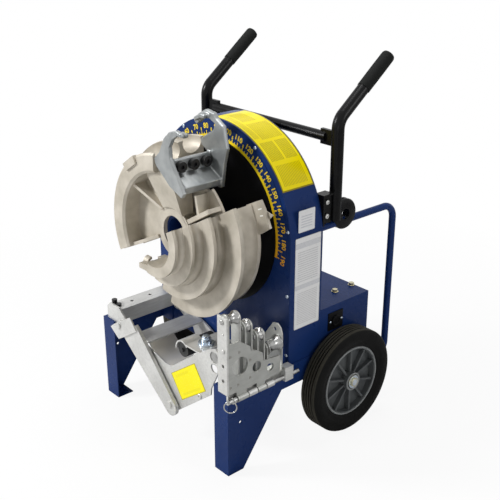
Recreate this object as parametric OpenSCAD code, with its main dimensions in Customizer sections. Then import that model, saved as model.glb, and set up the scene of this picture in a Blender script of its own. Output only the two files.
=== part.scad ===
// Electric pipe bender on wheels: turning shoe with hook, roller unit, support cradle, housing and handle.
// Units are millimetres. X runs to the right seen from the front, Y to the back and Z up from the floor.
// The drawing frame has Y = 0 on the front of the legs, and site() moves it to the middle of the part.

/* [Housing] */
// Width of the sheet-metal housing
housing_w = 562; // [548:2:580]
// Height of the shoe's axis above the floor
axis_z = 585; // [575:1:600]
// Height of the underside of the base above the floor
base_z = 186; // [180:1:192]
// Depth of the housing behind its front plate
housing_d = 116; // [114:1:130]
// Depth of the cover behind the housing
cover_d = 194; // [188:1:205]
// Height of the cover's top above the floor
cover_top = 373; // [370:1:390]

/* [Legs and wheels] */
// Height of the front legs without their top plates
leg_h = 249; // [244:1:254]
// Width of a leg's front face
leg_w = 55; // [50:1:60]
// Diameter of the wheels
wheel_d = 304.8; // [296:0.4:310]
// Width of a tyre
tyre_w = 59; // [50:1:64]
// Radius of the rims inside the tyres
rim_r = 102.6; // [96:0.2:108]
// Diameter of the wheel axle
axle_d = 19; // [16:0.5:22]

/* [Handle] */
// Diameter of the handle tubes
handle_d = 33; // [30:0.5:34]
// Slope of the grips above level in degrees
grip_slope = 38.3; // [34:0.1:44]
// Length of a foam grip
grip_len = 122; // [100:1:130]
// Diameter of the side tubes
side_tube_d = 20; // [16:1:22]

/* [Shoe] */
// Radius of the shoe's stepped rims, from the front one to the rearmost
rim_1 = 103; // [100:1:106]
// Radius of the second rim
rim_2 = 134; // [130:1:138]
// Radius of the third rim
rim_3 = 180; // [174:1:186]
// Radius of the fourth rim
rim_4 = 240; // [234:1:244]
// Radius of the two rims of the shoe's left part
left_rim = 241; // [236:1:245]
// Diameter of the shaft that carries the shoe
shaft_d = 92; // [90:1:98]

/* [Roller unit] */
// Radius of the rollers' rims for the three smaller conduits
roller_r = 18; // [16:0.5:18.5]
// Radius of the rearmost roller's rims
large_roller_r = 22; // [20:0.5:22.5]
// Diameter of the hinge pin
hinge_pin_d = 12; // [10:0.5:13]

/* [Cradle] */
// Radius of the black support roller
support_roller_r = 21; // [17:0.5:22]
// Diameter of the adjusting knob
knob_d = 44; // [38:1:48]

/* [Hidden] */
$fn = 96;
sheet = 3;
thin_air = 0.1;
running = 0.06;
front_y = 213.7;
back_y = front_y + housing_d;
cover_back = back_y + cover_d;
half = housing_w / 2;
leg_out = half + sheet;
front_reach = 18;
tube_back = cover_back + 124;
y_mid = (tube_back - front_reach) / 2;
rest_z = leg_h + 6;
shaft_r = shaft_d / 2;
hub_r = shaft_r + 18;
dial_in = half - 53;
dial_out = half - 13;
hub_front = 60;
shaft_front = 72;
shaft_wall = 8;
recess_y = 64;
flange_r = hub_r + 7;
tyre_in = leg_out + 2.6;
tyre_out = tyre_in + tyre_w;
wheel_r = wheel_d / 2;
axle_y = back_y + 75;
axle_z = wheel_r;
axle_r = axle_d / 2;
gear_module = 8;
gear_teeth = 48;
pinion_teeth = 12;
gear_centre = gear_module * (gear_teeth + pinion_teeth) / 2;
pinion_z = axis_z - gear_centre;
upright_x = half - 16.7;
upright_y = back_y + 60.3;
handle_r = handle_d / 2;
handle_foot = axis_z + 30;
handle_bend_z = 858;
handle_bend_r = 45;
tube_x = half - 23.6;
tube_r = side_tube_d / 2;
tube_z = axis_z + 15;
tube_bend = 40;
tube_low = 125;
hinge_x = leg_out + 16;
hinge_z = leg_h - 13;
hinge_r = hinge_pin_d / 2;
knuckle_r = hinge_r + 3;
unit_x = hinge_x - 18;
unit_wall = 4;
rollers_z = [axis_z - 130, axis_z - 165, axis_z - 204, axis_z - 250];
rollers_y = [[-3.5, 28.5], [50.5, 66.5], [91.5, 108.5], [125.5, 171.5]];
rollers_r = [roller_r, roller_r, roller_r, large_roller_r];
pivot_x = -leg_out + 94;
pivot_z = leg_h + 13;
support_at = [268, 22];
knob_x = 316;

// Places a sub-part drawn in the drawing frame
module site() {
  translate([0, -y_mid, 0]) children();
}

// Plate of a given thickness drawn in X and Z, its front face at y
module xz_plate(y, t) {
  translate([0, y + t, 0]) rotate([90, 0, 0]) linear_extrude(t) children();
}

// Plate of a given thickness drawn in Y and Z, its left face at x
module yz_plate(x, t) {
  translate([x, 0, 0]) rotate([90, 0, 90]) linear_extrude(t) children();
}

// Rod along Y that starts at a point
module rod_y(p, r, len) {
  translate(p) rotate([-90, 0, 0]) cylinder(r = r, h = len);
}

// Rod along X that starts at a point
module rod_x(p, r, len) {
  translate(p) rotate([0, 90, 0]) cylinder(r = r, h = len);
}

// Box between two corners
module block(low, high) {
  translate(low) cube(high - low);
}

// Hexagon head along Y or X, drawn as a six-sided prism
module hexagon(r) {
  polygon([for (k = [0 : 5]) [r * cos(60 * k), r * sin(60 * k)]]);
}

// Solid of revolution about the shoe's axis, its profile given as radius and -Y
module turned(from, sweep) {
  translate([0, 0, axis_z]) rotate([90, 0, 0]) rotate([0, 0, from]) rotate_extrude(angle = sweep) children();
}

// Tombstone outline of the housing, drawn in X and Z and inset by a distance
module tombstone(inset) {
  translate([0, axis_z]) circle(r = half - inset);
  translate([-half + inset, base_z]) square([housing_w - 2 * inset, axis_z - base_z]);
}

// Spur gear outline from the involute of its base circle
function inv_deg(a) = tan(a) * 180 / PI - a;

module gear_outline(teeth, backlash) {
  pitch_r = gear_module * teeth / 2;
  base_r = pitch_r * cos(20);
  tip_r = pitch_r + 0.75 * gear_module;
  root_r = pitch_r - 1.15 * gear_module;
  half_angle = 90 / teeth - backlash / pitch_r * 90 / PI + inv_deg(20);
  low_r = max(base_r, root_r);
  flank = [for (k = [0 : 4]) low_r + (tip_r - low_r) * k / 4];
  function spread(r) = half_angle - inv_deg(acos(min(1, base_r / r)));
  points = [
    for (n = [0 : teeth - 1])
      let (mid = 360 * n / teeth)
        each concat(
          [[root_r * cos(mid - spread(low_r)), root_r * sin(mid - spread(low_r))]],
          [for (r = flank) [r * cos(mid - spread(r)), r * sin(mid - spread(r))]],
          [for (k = [4 : -1 : 0]) [flank[k] * cos(mid + spread(flank[k])), flank[k] * sin(mid + spread(flank[k]))]],
          [[root_r * cos(mid + spread(low_r)), root_r * sin(mid + spread(low_r))]]
        )
  ];
  polygon(points);
}

// Elbow of a tube in a plane parallel to Y and Z, centred on a point, angles from +Y towards +Z
module elbow(centre, bend_r, r, from, sweep) {
  translate(centre) rotate([90, 0, 90]) rotate([0, 0, from])
    rotate_extrude(angle = sweep) translate([bend_r, 0]) circle(r = r);
}

// Housing front: a tombstone plate with a clear hole for the shaft
module front_plate() {
  color([0.10, 0.18, 0.42]) site() xz_plate(front_y, sheet) difference() {
    tombstone(0);
    translate([0, axis_z]) circle(r = shaft_r + 1.5);
  }
}

// Side band of the housing, standing on the base pan
module side_band() {
  color([0.08, 0.14, 0.36]) site() xz_plate(front_y + sheet, housing_d - 2 * sheet) difference() {
    tombstone(0);
    tombstone(sheet);
    translate([-half, base_z - 1]) square([housing_w, 5]);
  }
}

// Back of the housing, with a hole for the pinion's shaft and two windows for leads
module back_plate() {
  color([0.08, 0.14, 0.36]) site() xz_plate(back_y - sheet, sheet) difference() {
    tombstone(0);
    translate([-half, base_z - 1]) square([housing_w, 5]);
    translate([0, pinion_z]) circle(r = 16);
    for (side = [-1, 1]) translate([side * 170 - 30, base_z + 24]) square([60, 50]);
  }
}

// Floor of the housing and of the cover, lapping under both
module base_pan() {
  color([0.07, 0.12, 0.30]) site() block([-half, front_y + sheet, base_z], [half, cover_back, base_z + 4]);
}

// Right front leg: front sheet, side sheet, foot and top plate
module leg() {
  in_x = leg_out - leg_w;
  block([in_x, 0, 0], [leg_out, sheet, leg_h]);
  yz_plate(half, sheet) difference() {
    polygon([
      [0, 0], [52, 0], [187.5, base_z], [front_y + 86, base_z], [front_y + 86, leg_h], [0, leg_h]
    ]);
    translate([42, 149]) circle(r = 4);
  }
  block([in_x, 0, 0], [leg_out, 52, sheet]);
  block([in_x, 0, leg_h], [leg_out, front_y, rest_z]);
  block([in_x, front_y - sheet, base_z], [leg_out, front_y, leg_h + 1]);
}

module right_leg() {
  color([0.12, 0.22, 0.50]) site() leg();
}

module left_leg() {
  color([0.12, 0.22, 0.50]) site() mirror([1, 0, 0]) leg();
}

// Cover over the motor and reducer, open to the housing and to the pan
module gearbox_cover() {
  color([0.08, 0.14, 0.36]) site() difference() {
    block([-half, back_y, base_z + 4], [half, cover_back, cover_top]);
    block([-half + sheet, back_y - 1, base_z + 3], [half - sheet, cover_back - sheet, cover_top - sheet]);
    for (y = [back_y + 118, back_y + 186]) rod_z([half - 58, y, cover_top - 5], 4, 10);
  }
}

// Rod along Z that starts at a point
module rod_z(p, r, len) {
  translate(p) cylinder(r = r, h = len);
}

// Hexagon bolts that hold the cover down
module cover_bolts() {
  color([0.62, 0.60, 0.50]) site() for (y = [back_y + 118, back_y + 186]) {
    rod_z([half - 58, y, cover_top - 12], 3.9, 12);
    rod_z([half - 58, y, cover_top], 10, 1.5);
    translate([half - 58, y, cover_top + 1.5]) linear_extrude(6) hexagon(8);
  }
}

// Black plate with the power inlet on the side of the cover
module socket_plate() {
  color([0.05, 0.05, 0.05]) site() {
    yz_plate(half, 2.5) translate([back_y + 31, cover_top - 73]) square([57, 52]);
    rod_x([half + 2.5, back_y + 59.5, cover_top - 47], 15, 3);
    for (y = [back_y + 38, back_y + 81]) rod_x([half + 2.5, y, cover_top - 47], 4, 2);
  }
}

// Reducer box on the pan, with the pinion's bearing bore right through
module reducer() {
  color([0.35, 0.36, 0.38]) site() difference() {
    union() {
      block([-60, back_y + 6, base_z + 4], [60, back_y + 76, pinion_z + 22]);
      rod_y([0, back_y, pinion_z], 20, 7);
    }
    rod_y([0, back_y - 1, pinion_z], 14 + running, 78);
  }
}

// Motor behind the reducer
module motor() {
  motor_z = base_z + 82;
  color([0.20, 0.22, 0.25]) site() {
    rod_y([0, back_y + 76, motor_z], 58, 96);
    rod_y([0, back_y + 172, motor_z], 50, 14);
    for (a = [0 : 30 : 330]) translate([0, back_y + 84, motor_z]) rotate([0, a, 0])
      block([55, 0, -2], [63, 80, 2]);
    block([-45, back_y + 92, base_z + 4], [45, back_y + 160, motor_z - 50]);
  }
}

// Pinion on its shaft, in mesh with the main gear at the bottom
module drive_pinion() {
  color([0.55, 0.55, 0.57]) site() {
    translate([0, front_y + 63.5, pinion_z]) rotate([90, 0, 0]) rotate([0, 0, 15])
      linear_extrude(34) gear_outline(pinion_teeth, 0.5);
    rod_y([0, front_y + 20, pinion_z], 14, back_y + 70 - front_y - 20);
  }
}

// Main gear on the shoe's shaft, with a hub and four openings
module main_gear() {
  color([0.50, 0.50, 0.52]) site() translate([0, front_y + 61.5, axis_z]) rotate([90, 0, 0]) difference() {
    union() {
      linear_extrude(30) gear_outline(gear_teeth, 0.5);
      translate([0, 0, -8]) cylinder(r = shaft_r + 24, h = 44);
    }
    translate([0, 0, -10]) cylinder(r = shaft_r + thin_air, h = 60);
    for (a = [45 : 90 : 315]) rotate([0, 0, a]) translate([125, 0, -1]) cylinder(r = 32, h = 32);
  }
}

// Hollow shaft that carries the shoe
module main_shaft() {
  color([0.10, 0.16, 0.36]) site() difference() {
    rod_y([0, shaft_front, axis_z], shaft_r, back_y - 5 - shaft_front);
    rod_y([0, shaft_front - 1, axis_z], shaft_r - shaft_wall, back_y - shaft_front - 30);
  }
}

// Two flanged bearings, one behind the front plate and one on the back plate
module shaft_bearings() {
  color([0.40, 0.41, 0.43]) site() {
    difference() {
      union() {
        rod_y([0, front_y + sheet, axis_z], 85, 8);
        rod_y([0, front_y + sheet + 8, axis_z], 64, 12);
      }
      rod_y([0, front_y, axis_z], shaft_r + running, 30);
    }
    difference() {
      union() {
        rod_y([0, back_y - sheet - 8, axis_z], 85, 8);
        rod_y([0, back_y - sheet - 20, axis_z], 64, 12);
      }
      rod_y([0, back_y - sheet - 30, axis_z], shaft_r + running, 40);
    }
  }
}

// Black round facing on the front plate
module face_disc() {
  color([0.03, 0.03, 0.03]) site() xz_plate(front_y - 4, 4) translate([0, axis_z]) difference() {
    circle(r = dial_in - 1);
    circle(r = shaft_r + 1.5);
  }
}

// Graduated scale round the facing
module dial_scale() {
  color([0.95, 0.85, 0.10]) site() turned(-16, 140)
    translate([dial_in, -front_y]) square([dial_out - dial_in, 1.2]);
}

// Screws of the front plate
module front_screws() {
  screw_in = 6.3;
  color([0.55, 0.58, 0.65]) site() for (side = [-1, 1]) {
    for (p = [
      at_clock(half - screw_in, 32.4), [half - 10, axis_z + 40], [half - 9, axis_z - 137], [half - 9, rest_z + 20]
    ])
      rod_y([side * p[0], front_y - 2.5, p[1]], 5, 2.5);
  }
}

// Groove of a pipe turned about the shoe's axis: bottom radius, place along Y and pipe radius
module groove(bottom, y, r) {
  translate([bottom + r, -y]) circle(r = r);
}

// Section of the stepped right part of the shoe
module stepped_section() {
  difference() {
    polygon([
      [76, 14], [rim_1, 14], [rim_1, 6.5], [rim_1, -16.5], [rim_2, -16.5], [rim_2, -25], [rim_2, -56.5 + 8],
      [rim_3, -48.5], [rim_3, -57.5], [rim_3, -86], [rim_4, -86], [rim_4, -96], [rim_4 - 18, -158],
      [rim_4 - 18, -167], [hub_r + thin_air, -167], [hub_r + thin_air, -recess_y], [76, -recess_y]
    ]);
    groove(rim_1 - 7.2, 5, 11.2);
    groove(rim_2 - 10.5, 37, 12.8);
    groove(rim_3 - 22, 72, 15.5);
    groove(rim_4 - 38, 127, 31.5);
    translate([84, -175]) square([rim_4 - 56 - 84, 62]);
  }
}

// Section of the shoe's left part, with two larger grooves
module left_section() {
  difference() {
    polygon([
      [left_rim - 73, -21], [left_rim - 66, -15], [left_rim - 27, -15], [left_rim - 21, -19],
      [left_rim - 21, -22], [left_rim, -88], [left_rim, -97], [left_rim + 2, -156], [left_rim + 2, -165],
      [left_rim - 73, -165]
    ]);
    groove(left_rim - 53.6, 55, 32.6);
    groove(left_rim - 36.5, 126.5, 29.5);
    translate([left_rim - 74, -166]) square([31, 64]);
  }
}

// Radial wall of the shoe, drawn by its two ends in X and Z, between two depths
module rib(a, b, w, y0, y1) {
  d = b - a;
  len = norm(d);
  n = [-d[1], d[0]] * w / 2 / len;
  xz_plate(y0, y1 - y0) polygon([a + n, b + n, b - n, a - n]);
}

// Point at a radius and a clockwise angle from the top about the shoe's axis
function at_clock(r, a) = [r * sin(a), axis_z + r * cos(a)];

// Rib whose front edge slopes from one depth to another, with a level back
module sloped_rib(a, b, w, front_a, front_b, back) {
  d = b - a;
  translate([a[0], 0, a[1]]) rotate([0, -atan2(d[1], d[0]), 0]) translate([0, 0, -w / 2])
    linear_extrude(w) polygon([[0, front_a], [norm(d), front_b], [norm(d), back], [0, back]]);
}

// Right part of the shoe: stepped section with its marked lug and conduit hook, seated on the hub's flange
module shoe_casting() {
  color([0.78, 0.75, 0.72]) site() {
    turned(-105, 134) stepped_section();
    xz_plate(160, 8) polygon([
      at_clock(200, 60), at_clock(258, 60.8), at_clock(262, 66), at_clock(268, 77), at_clock(229, 81),
      at_clock(200, 84)
    ]);
    xz_plate(recess_y + 1, 9) translate([0, axis_z]) polygon([[-8, -68], [-70, -110], [-50, -130], [-12, -112]]);
    hook_lug();
  }
}

// Small conduit hook at the lower end of the stepped part
module hook_lug() {
  difference() {
    union() {
      xz_plate(-13, 84) translate([0, axis_z]) polygon([[-62, -84], [-18, -80], [-18, -98], [-62, -98]]);
      rod_x([-71, 22, axis_z - 90], 16, 20);
    }
    rod_x([-75, 22, axis_z - 90], 9.5, 28);
    block([-75, 22, axis_z - 94], [-46, 48, axis_z - 70]);
  }
}

// Left part of the shoe: section with two large grooves, webs, ribs and the saddle's carrier
module shoe_left_part() {
  web_out = 172;
  color([0.78, 0.75, 0.72]) site() difference() {
    union() {
      turned(90, 116) left_section();
      turned(93, 114) translate([hub_r - 1, -74]) square([left_rim - 70 - hub_r, 9]);
      turned(29, 77) translate([hub_r - 1, -113]) square([web_out - hub_r, 8]);
      sloped_rib(at_clock(52, -30), at_clock(196, -52), 9, 60, 22, 88);
      sloped_rib(at_clock(52, -112), at_clock(206, -115), 9, 60, 22, 86);
      rib(at_clock(60, -8), at_clock(left_rim - 45, -6), 10, 72, 160);
      rib(at_clock(60, 50), at_clock(web_out - 2, 56), 12, 63, 112);
      rib([94, axis_z + 72], [84, axis_z + 122], 9, 68, 112);
      middle_band();
      xz_plate(40, 100) translate([0, axis_z]) polygon([[-28, 150], [-28, 172], [0, 186], [40, 192], [40, 156]]);
      xz_plate(9, 13) polygon([at_clock(200, -42), at_clock(222, -42), at_clock(222, -27), at_clock(200, -27)]);
    }
    rod_y([0, 50, axis_z], hub_r + thin_air, 130);
    rod_y([0, 50, axis_z], flange_r + thin_air, recess_y - 50 + thin_air);
    block([-18, 10, axis_z + 150], [10, 29, axis_z + 260]);
    xz_plate(100, 18) translate([0, axis_z]) polygon([[40.5, 151], [92, 128], [104, 128], [104, 190], [40.5, 190]]);
  }
}

// Wide band from the hub up to the saddle, its front leaning forward
module middle_band() {
  intersection() {
    xz_plate(20, 72) translate([0, axis_z]) polygon([
      [-28, 40], [-72, 148], [-62, 184], [36, 184], [38, 150], [44, 60], [30, 40]
    ]);
    yz_plate(-100, 200) translate([0, axis_z]) polygon([[61, 36], [30, 156], [30, 190], [92.5, 190], [92.5, 36]]);
  }
}

// Hub of the shoe: bored bush with a flange against the casting's recess
module shoe_hub() {
  color([0.80, 0.78, 0.75]) site() difference() {
    union() {
      rod_y([0, hub_front, axis_z], hub_r, 168 - hub_front);
      rod_y([0, recess_y - 3, axis_z], flange_r, 3);
    }
    rod_y([0, hub_front - 1, axis_z], shaft_r + thin_air, 120);
  }
}

// Saddle with two hooks, bolted to the shoe's upper end
module hook_saddle() {
  color([0.74, 0.75, 0.75]) site() {
    xz_plate(145, 12) translate([0, axis_z - 585]) polygon([
      [-12, 868], [4, 890], [34, 907], [66, 903], [77, 890], [103, 875], [116, 819], [104, 777], [94, 714],
      [83, 712], [42, 728], [40, 745], [40, 798], [16, 812], [14, 826], [29, 838], [65, 860], [72, 876],
      [48, 886], [22, 880], [-3, 862]
    ]);
    xz_plate(16, 12) translate([0, axis_z - 585]) polygon([
      [100, 877], [80, 882], [53, 874], [30, 854], [10, 816], [-14, 793], [-8, 777], [48, 733], [95, 714],
      [104, 726], [79, 763], [65, 783], [52, 806], [50, 835], [64, 857], [85, 870], [101, 868]
    ]);
    xz_plate(28, 117) translate([0, axis_z - 585]) polygon([
      [40, 800], [52, 800], [52, 764], [96, 738], [94, 722], [88, 718], [42, 738]
    ]);
    hook_tip(142, 66, -1);
    hook_tip(31, 90, 1);
  }
}

// Curled tip that reaches over a conduit from one of the saddle's plates
module hook_tip(y, x, way) {
  translate([0, y, axis_z - 585]) rotate([90, 0, 0]) translate([0, 0, way > 0 ? -12 : -4]) linear_extrude(16)
    polygon(x < 80 ? [[4, 884], [20, 893], [34, 898], [48, 896], [46, 886], [34, 887], [18, 881], [6, 873]]
                   : [[58, 868], [78, 876], [98, 873], [96, 863], [80, 866], [64, 860]]);
}

// Socket bolts of the saddle
module hook_bolts() {
  color([0.04, 0.04, 0.04]) site() for (y = [46, 86, 126]) difference() {
    rod_x([52, y, axis_z + 196], 14, 14);
    translate([60, y, axis_z + 196]) rotate([90, 0, 90]) linear_extrude(10) hexagon(6);
  }
}

// Pointer on the marked lug
module shoe_pointer() {
  color([0.75, 0.72, 0.68]) site() xz_plate(168, 2) polygon([
    at_clock(250, 66), at_clock(281, 70.3), at_clock(250, 74)
  ]);
}

// Upright wall of the roller unit with a rounded top, drawn in X and Z
module fork_wall(y, top) {
  half_w = 16.5;
  xz_plate(y, unit_wall) {
    translate([unit_x - half_w, rest_z + 3]) square([2 * half_w, top - rest_z - 3]);
    translate([unit_x, top]) circle(r = half_w);
  }
}

// Roller unit's frame: outer plate, floor, fork walls, lug and hinge knuckles
module roller_frame() {
  out_x = hinge_x;
  color([0.72, 0.72, 0.70]) site() difference() {
    union() {
      yz_plate(out_x - 5, 5) polygon([
        [-9, rest_z + 0.3], [-9, rollers_z[1] - 23], [27, rollers_z[1] - 24], [62.5, rollers_z[2] - 12],
        [64, rollers_z[2] - 25], [81, rollers_z[2] - 29], [104, rollers_z[3] + 1], [107, rollers_z[3] - 24],
        [165, rollers_z[3] - 29], [165, rest_z + 0.3]
      ]);
      block([out_x - 38, -9, rest_z + 0.3], [out_x, 176, rest_z + 5.3]);
      for (k = [0 : 3]) {
        fork_wall(rollers_y[k][0] - unit_wall - 0.5, rollers_z[k]);
        if (k < 3) fork_wall(rollers_y[k][1] + 0.5, rollers_z[k]);
      }
      xz_plate(rollers_y[3][1] + 0.5, unit_wall) polygon([
        [out_x - 66, rest_z + 3], [out_x - 66, rollers_z[3] + 8], [out_x - 52, rollers_z[3] + 28],
        [out_x - 36, rollers_z[3] + 50], [out_x - 20, rollers_z[3] + 53], [out_x - 8, rollers_z[3] + 44],
        [out_x - 2, rollers_z[3] + 28], [out_x - 2, rest_z + 3]
      ]);
      for (y = [[17, 50], [84, 112]]) {
        rod_y([hinge_x, y[0], hinge_z], knuckle_r, y[1] - y[0]);
        block([hinge_x - 5, y[0], hinge_z], [hinge_x, y[1], rest_z + 2]);
      }
    }
    for (k = [0 : 3])
      rod_y([unit_x, rollers_y[k][0] - 8, rollers_z[k]], 5 + running, rollers_y[k][1] - rollers_y[k][0] + 16);
    rod_x([out_x - 8, 28, rest_z + 70], 26, 12);
    rod_x([out_x - 8, 84, rest_z + 49], 14.5, 12);
    rod_x([out_x - 8, 130, rest_z + 30], 12, 12);
    rod_y([out_x - 29, 165, rollers_z[3] + 34], 6, 20);
    rod_y([hinge_x, 0, hinge_z], hinge_r + running, 190);
  }
}

// End plate at the front of the roller unit
module unit_end_plate() {
  color([0.80, 0.80, 0.79]) site() xz_plate(-14, 5) difference() {
    translate([hinge_x - 36, rest_z + 0.3]) square([36, rollers_z[0] + 14 - rest_z]);
    translate([unit_x + 2, rest_z + 79]) circle(r = 5);
    translate([unit_x + 2, rest_z + 37]) circle(r = 5);
    for (z = [rollers_z[0] - 33, rollers_z[0] - 78]) translate([unit_x + 4, z]) circle(r = 3.1);
    translate([unit_x, rollers_z[0]]) circle(r = 5.1);
  }
}

// Domed screws of the end plate
module unit_screws() {
  color([0.85, 0.85, 0.84]) site() for (z = [rollers_z[0] - 33, rollers_z[0] - 78]) {
    rod_y([unit_x + 4, -18, z], 6, 4);
    rod_y([unit_x + 4, -14, z], 3, 5);
  }
}

// Grooved roller along Y between two depths
module grooved_roller(k) {
  y0 = rollers_y[k][0];
  len = rollers_y[k][1] - y0;
  r = rollers_r[k];
  depth = 5.5;
  half_chord = len / 2 - 2;
  groove_r = (half_chord * half_chord + depth * depth) / 2 / depth;
  translate([unit_x, y0, rollers_z[k]]) rotate([-90, 0, 0]) rotate_extrude() difference() {
    translate([5 + running, 0]) square([r - 5 - running, len]);
    translate([r - depth + groove_r, len / 2]) circle(r = groove_r);
  }
}

module roller_1() {
  color([0.82, 0.82, 0.81]) site() grooved_roller(0);
}

module roller_2() {
  color([0.82, 0.82, 0.81]) site() grooved_roller(1);
}

module roller_3() {
  color([0.82, 0.82, 0.81]) site() grooved_roller(2);
}

module roller_4() {
  color([0.82, 0.82, 0.81]) site() grooved_roller(3);
}

// Axles of the four rollers, each with a head in front of its fork
module roller_axles() {
  color([0.86, 0.86, 0.86]) site() for (k = [0 : 3]) {
    front = k == 0 ? -14 : rollers_y[k][0] - unit_wall - 0.5;
    back = rollers_y[k][1] + 0.5 + unit_wall;
    rod_y([unit_x, front, rollers_z[k]], 5, back - front);
    rod_y([unit_x, front - 3.5, rollers_z[k]], k == 0 ? 7 : 9, 3.5);
  }
}

// Fixed leaf, knuckles and end block of the roller unit's hinge
module hinge_base() {
  color([0.74, 0.74, 0.72]) site() difference() {
    union() {
      block([leg_out, -4, hinge_z - 16], [leg_out + 6, 207, hinge_z + 12]);
      for (y = [[53, 81], [115, 140]]) {
        rod_y([hinge_x, y[0], hinge_z], knuckle_r, y[1] - y[0]);
        block([leg_out, y[0], hinge_z - knuckle_r], [hinge_x, y[1], hinge_z + knuckle_r]);
      }
      block([leg_out, 179, hinge_z - 12], [hinge_x + 7, 207, hinge_z + 28]);
    }
    rod_y([hinge_x, -10, hinge_z], hinge_r + running, 230);
  }
}

// Hinge pin with its head and pull ring
module pull_pin() {
  ring_r = 16;
  color([0.80, 0.80, 0.80]) site() {
    rod_y([hinge_x, -10, hinge_z], hinge_r, 241);
    rod_y([hinge_x, 2, hinge_z], knuckle_r, 9);
    translate([hinge_x, -4.5, hinge_z - ring_r]) rotate([0, 0, 45]) rotate([90, 0, 0]) rotate_extrude()
      translate([ring_r, 0]) circle(r = 1.6, $fn = 24);
  }
}

// Rail on the left leg: square tube with a lug plate at each end
module left_rail() {
  in_x = -leg_out + 79;
  out_x = -leg_out + 22;
  color([0.80, 0.80, 0.79]) site() difference() {
    union() {
      difference() {
        block([out_x, 12, rest_z], [in_x, front_y, rest_z + 45]);
        block([out_x + 4, 11, rest_z + 4], [in_x - 4, front_y + 1, rest_z + 41]);
      }
      xz_plate(6.3, 5.7) polygon([
        [-leg_out + 16, rest_z], [-leg_out + 16, rest_z + 38], [-leg_out + 28, rest_z + 51],
        [-leg_out + 76, rest_z + 51], [-leg_out + 120, rest_z + 18], [-leg_out + 120, rest_z - 8],
        [-leg_out + 86, rest_z - 8], [-leg_out + 78, rest_z]
      ]);
      rod_y([pivot_x, -4, pivot_z], 13, 11);
      xz_plate(207, 5.7) translate([in_x - 1, rest_z - 10]) square([38, 50]);
    }
    rod_y([pivot_x, -6, pivot_z], 7 + running, 226);
    for (y = [70, 135]) rod_z([-leg_out + 50, y, rest_z + 36], 5, 12);
    for (x = [32, 52]) rod_z([-leg_out + x, 21.5, rest_z + 36], 5.1, 12);
  }
}

// Socket screw and hexagon bolt on top of the left rail
module rail_bolts() {
  color([0.10, 0.10, 0.10]) site() {
    rod_z([-leg_out + 32, 21.5, rest_z + 30], 5, 15);
    rod_z([-leg_out + 32, 21.5, rest_z + 45], 8, 14);
    rod_z([-leg_out + 52, 21.5, rest_z + 30], 5, 15);
    translate([-leg_out + 52, 21.5, rest_z + 45]) linear_extrude(7) hexagon(9);
  }
}

// Moves a cradle sub-part to its pivot
module at_pivot() {
  site() translate([pivot_x, 0, pivot_z]) children();
}

// Cross plate in front of the left rail, on the cradle's pivot
module cradle_cross_plate() {
  color([0.78, 0.78, 0.77]) at_pivot() xz_plate(-9, 4.7) difference() {
    polygon([[-43, -19], [-24, -4], [60, 48], [88, 14], [18, -32], [-4, -45]]);
    circle(r = 7 + thin_air);
  }
}

// Long front arm with a round lower end
module cradle_front_arm() {
  color([0.84, 0.84, 0.83]) at_pivot() difference() {
    union() {
      xz_plate(-4.3, 10.3) polygon([[12, -20], [30, -6], [78, 28], [93, 16], [251, -148], [212, -182], [20, -33]]);
      rod_y([231, -4.3, -164], 26, 10.3);
    }
    rod_y([230, -6, -156], 6.1, 14);
  }
}

// Rear arm close to the housing
module cradle_back_arm() {
  color([0.70, 0.70, 0.69]) at_pivot() xz_plate(200, 6) difference() {
    polygon([
      [-12, 14], [26, 17], [89, 14], [109, -6], [149, -19], [193, -40], [193, -66], [100, -92], [78, -47],
      [14, -14], [-12, -14]
    ]);
    circle(r = 7 + thin_air);
  }
}

// Sloping strip that joins the two arms
module cradle_rail() {
  color([0.66, 0.66, 0.66]) at_pivot() xz_plate(6, 194) polygon([[80, 5], [124, -9], [122.5, -14], [78.5, 0]]);
}

// Large front plate of the cradle, held off the arm by two bosses
module label_plate() {
  color([0.80, 0.80, 0.80]) at_pivot() difference() {
    union() {
      xz_plate(11, 4) polygon([
        [98, -22], [118, -28], [196, -47], [222, -46], [291, 7], [385, 74], [412, 86], [434, 72], [434, 40],
        [395, -37], [392, -59], [369, -77], [252, -170], [238, -170], [96, -30]
      ]);
      rod_y([230, 6, -156], 13, 6);
      rod_y([116, 6, -46], 10, 6);
    }
    rod_y([409, 5, 60], 16, 20);
    rod_y([409, 5, 28], 13, 20);
    rod_y([230, -5, -156], 6.1, 30);
    rod_y([347, 5, -82], 5.1, 20);
  }
}

// Curved sheet under the shoe
module support_shell() {
  color([0.88, 0.88, 0.87]) at_pivot() translate([195, 15, 62]) rotate([-90, 0, 0]) rotate([0, 0, 75])
    rotate_extrude(angle = 62) translate([110, 0]) square([4, 85]);
}

// Yoke of the support roller: rear cheek, low front cheek, top plate for the knob's screw and strap
module roller_yoke() {
  strap_gap = 3;
  color([0.78, 0.79, 0.80]) at_pivot() difference() {
    union() {
      xz_plate(119, 4) {
        translate(support_at) circle(r = 11);
        polygon([[262, -60], [290, -60], [346, 34], [346, 45], [290, 45], [276, 28], [262, 10]]);
      }
      xz_plate(15, 4) polygon([[262, -60], [290, -60], [346, 34], [346, 45], [336, 45], [298, 7], [262, -18]]);
      block([284, 15, 41], [346, 123, 45]);
      xz_plate(15, 55) translate(support_at) intersection() {
        difference() {
          circle(r = support_roller_r + strap_gap + 4);
          circle(r = support_roller_r + strap_gap);
        }
        polygon([[0, 0], [-60, -8], [-60, 60], [60, 60], [60, 45]]);
      }
    }
    rod_y([support_at[0], 10, support_at[1]], 6 + running, 120);
    rod_z([knob_x, 60, 30], 6 + running, 30);
  }
}

// Black support roller on its axle
module support_roller() {
  color([0.05, 0.05, 0.05]) at_pivot() {
    rod_y([support_at[0], 19.4, support_at[1]], support_roller_r, 99.2);
    rod_y([support_at[0], 13, support_at[1]], 6, 112);
  }
}

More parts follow.
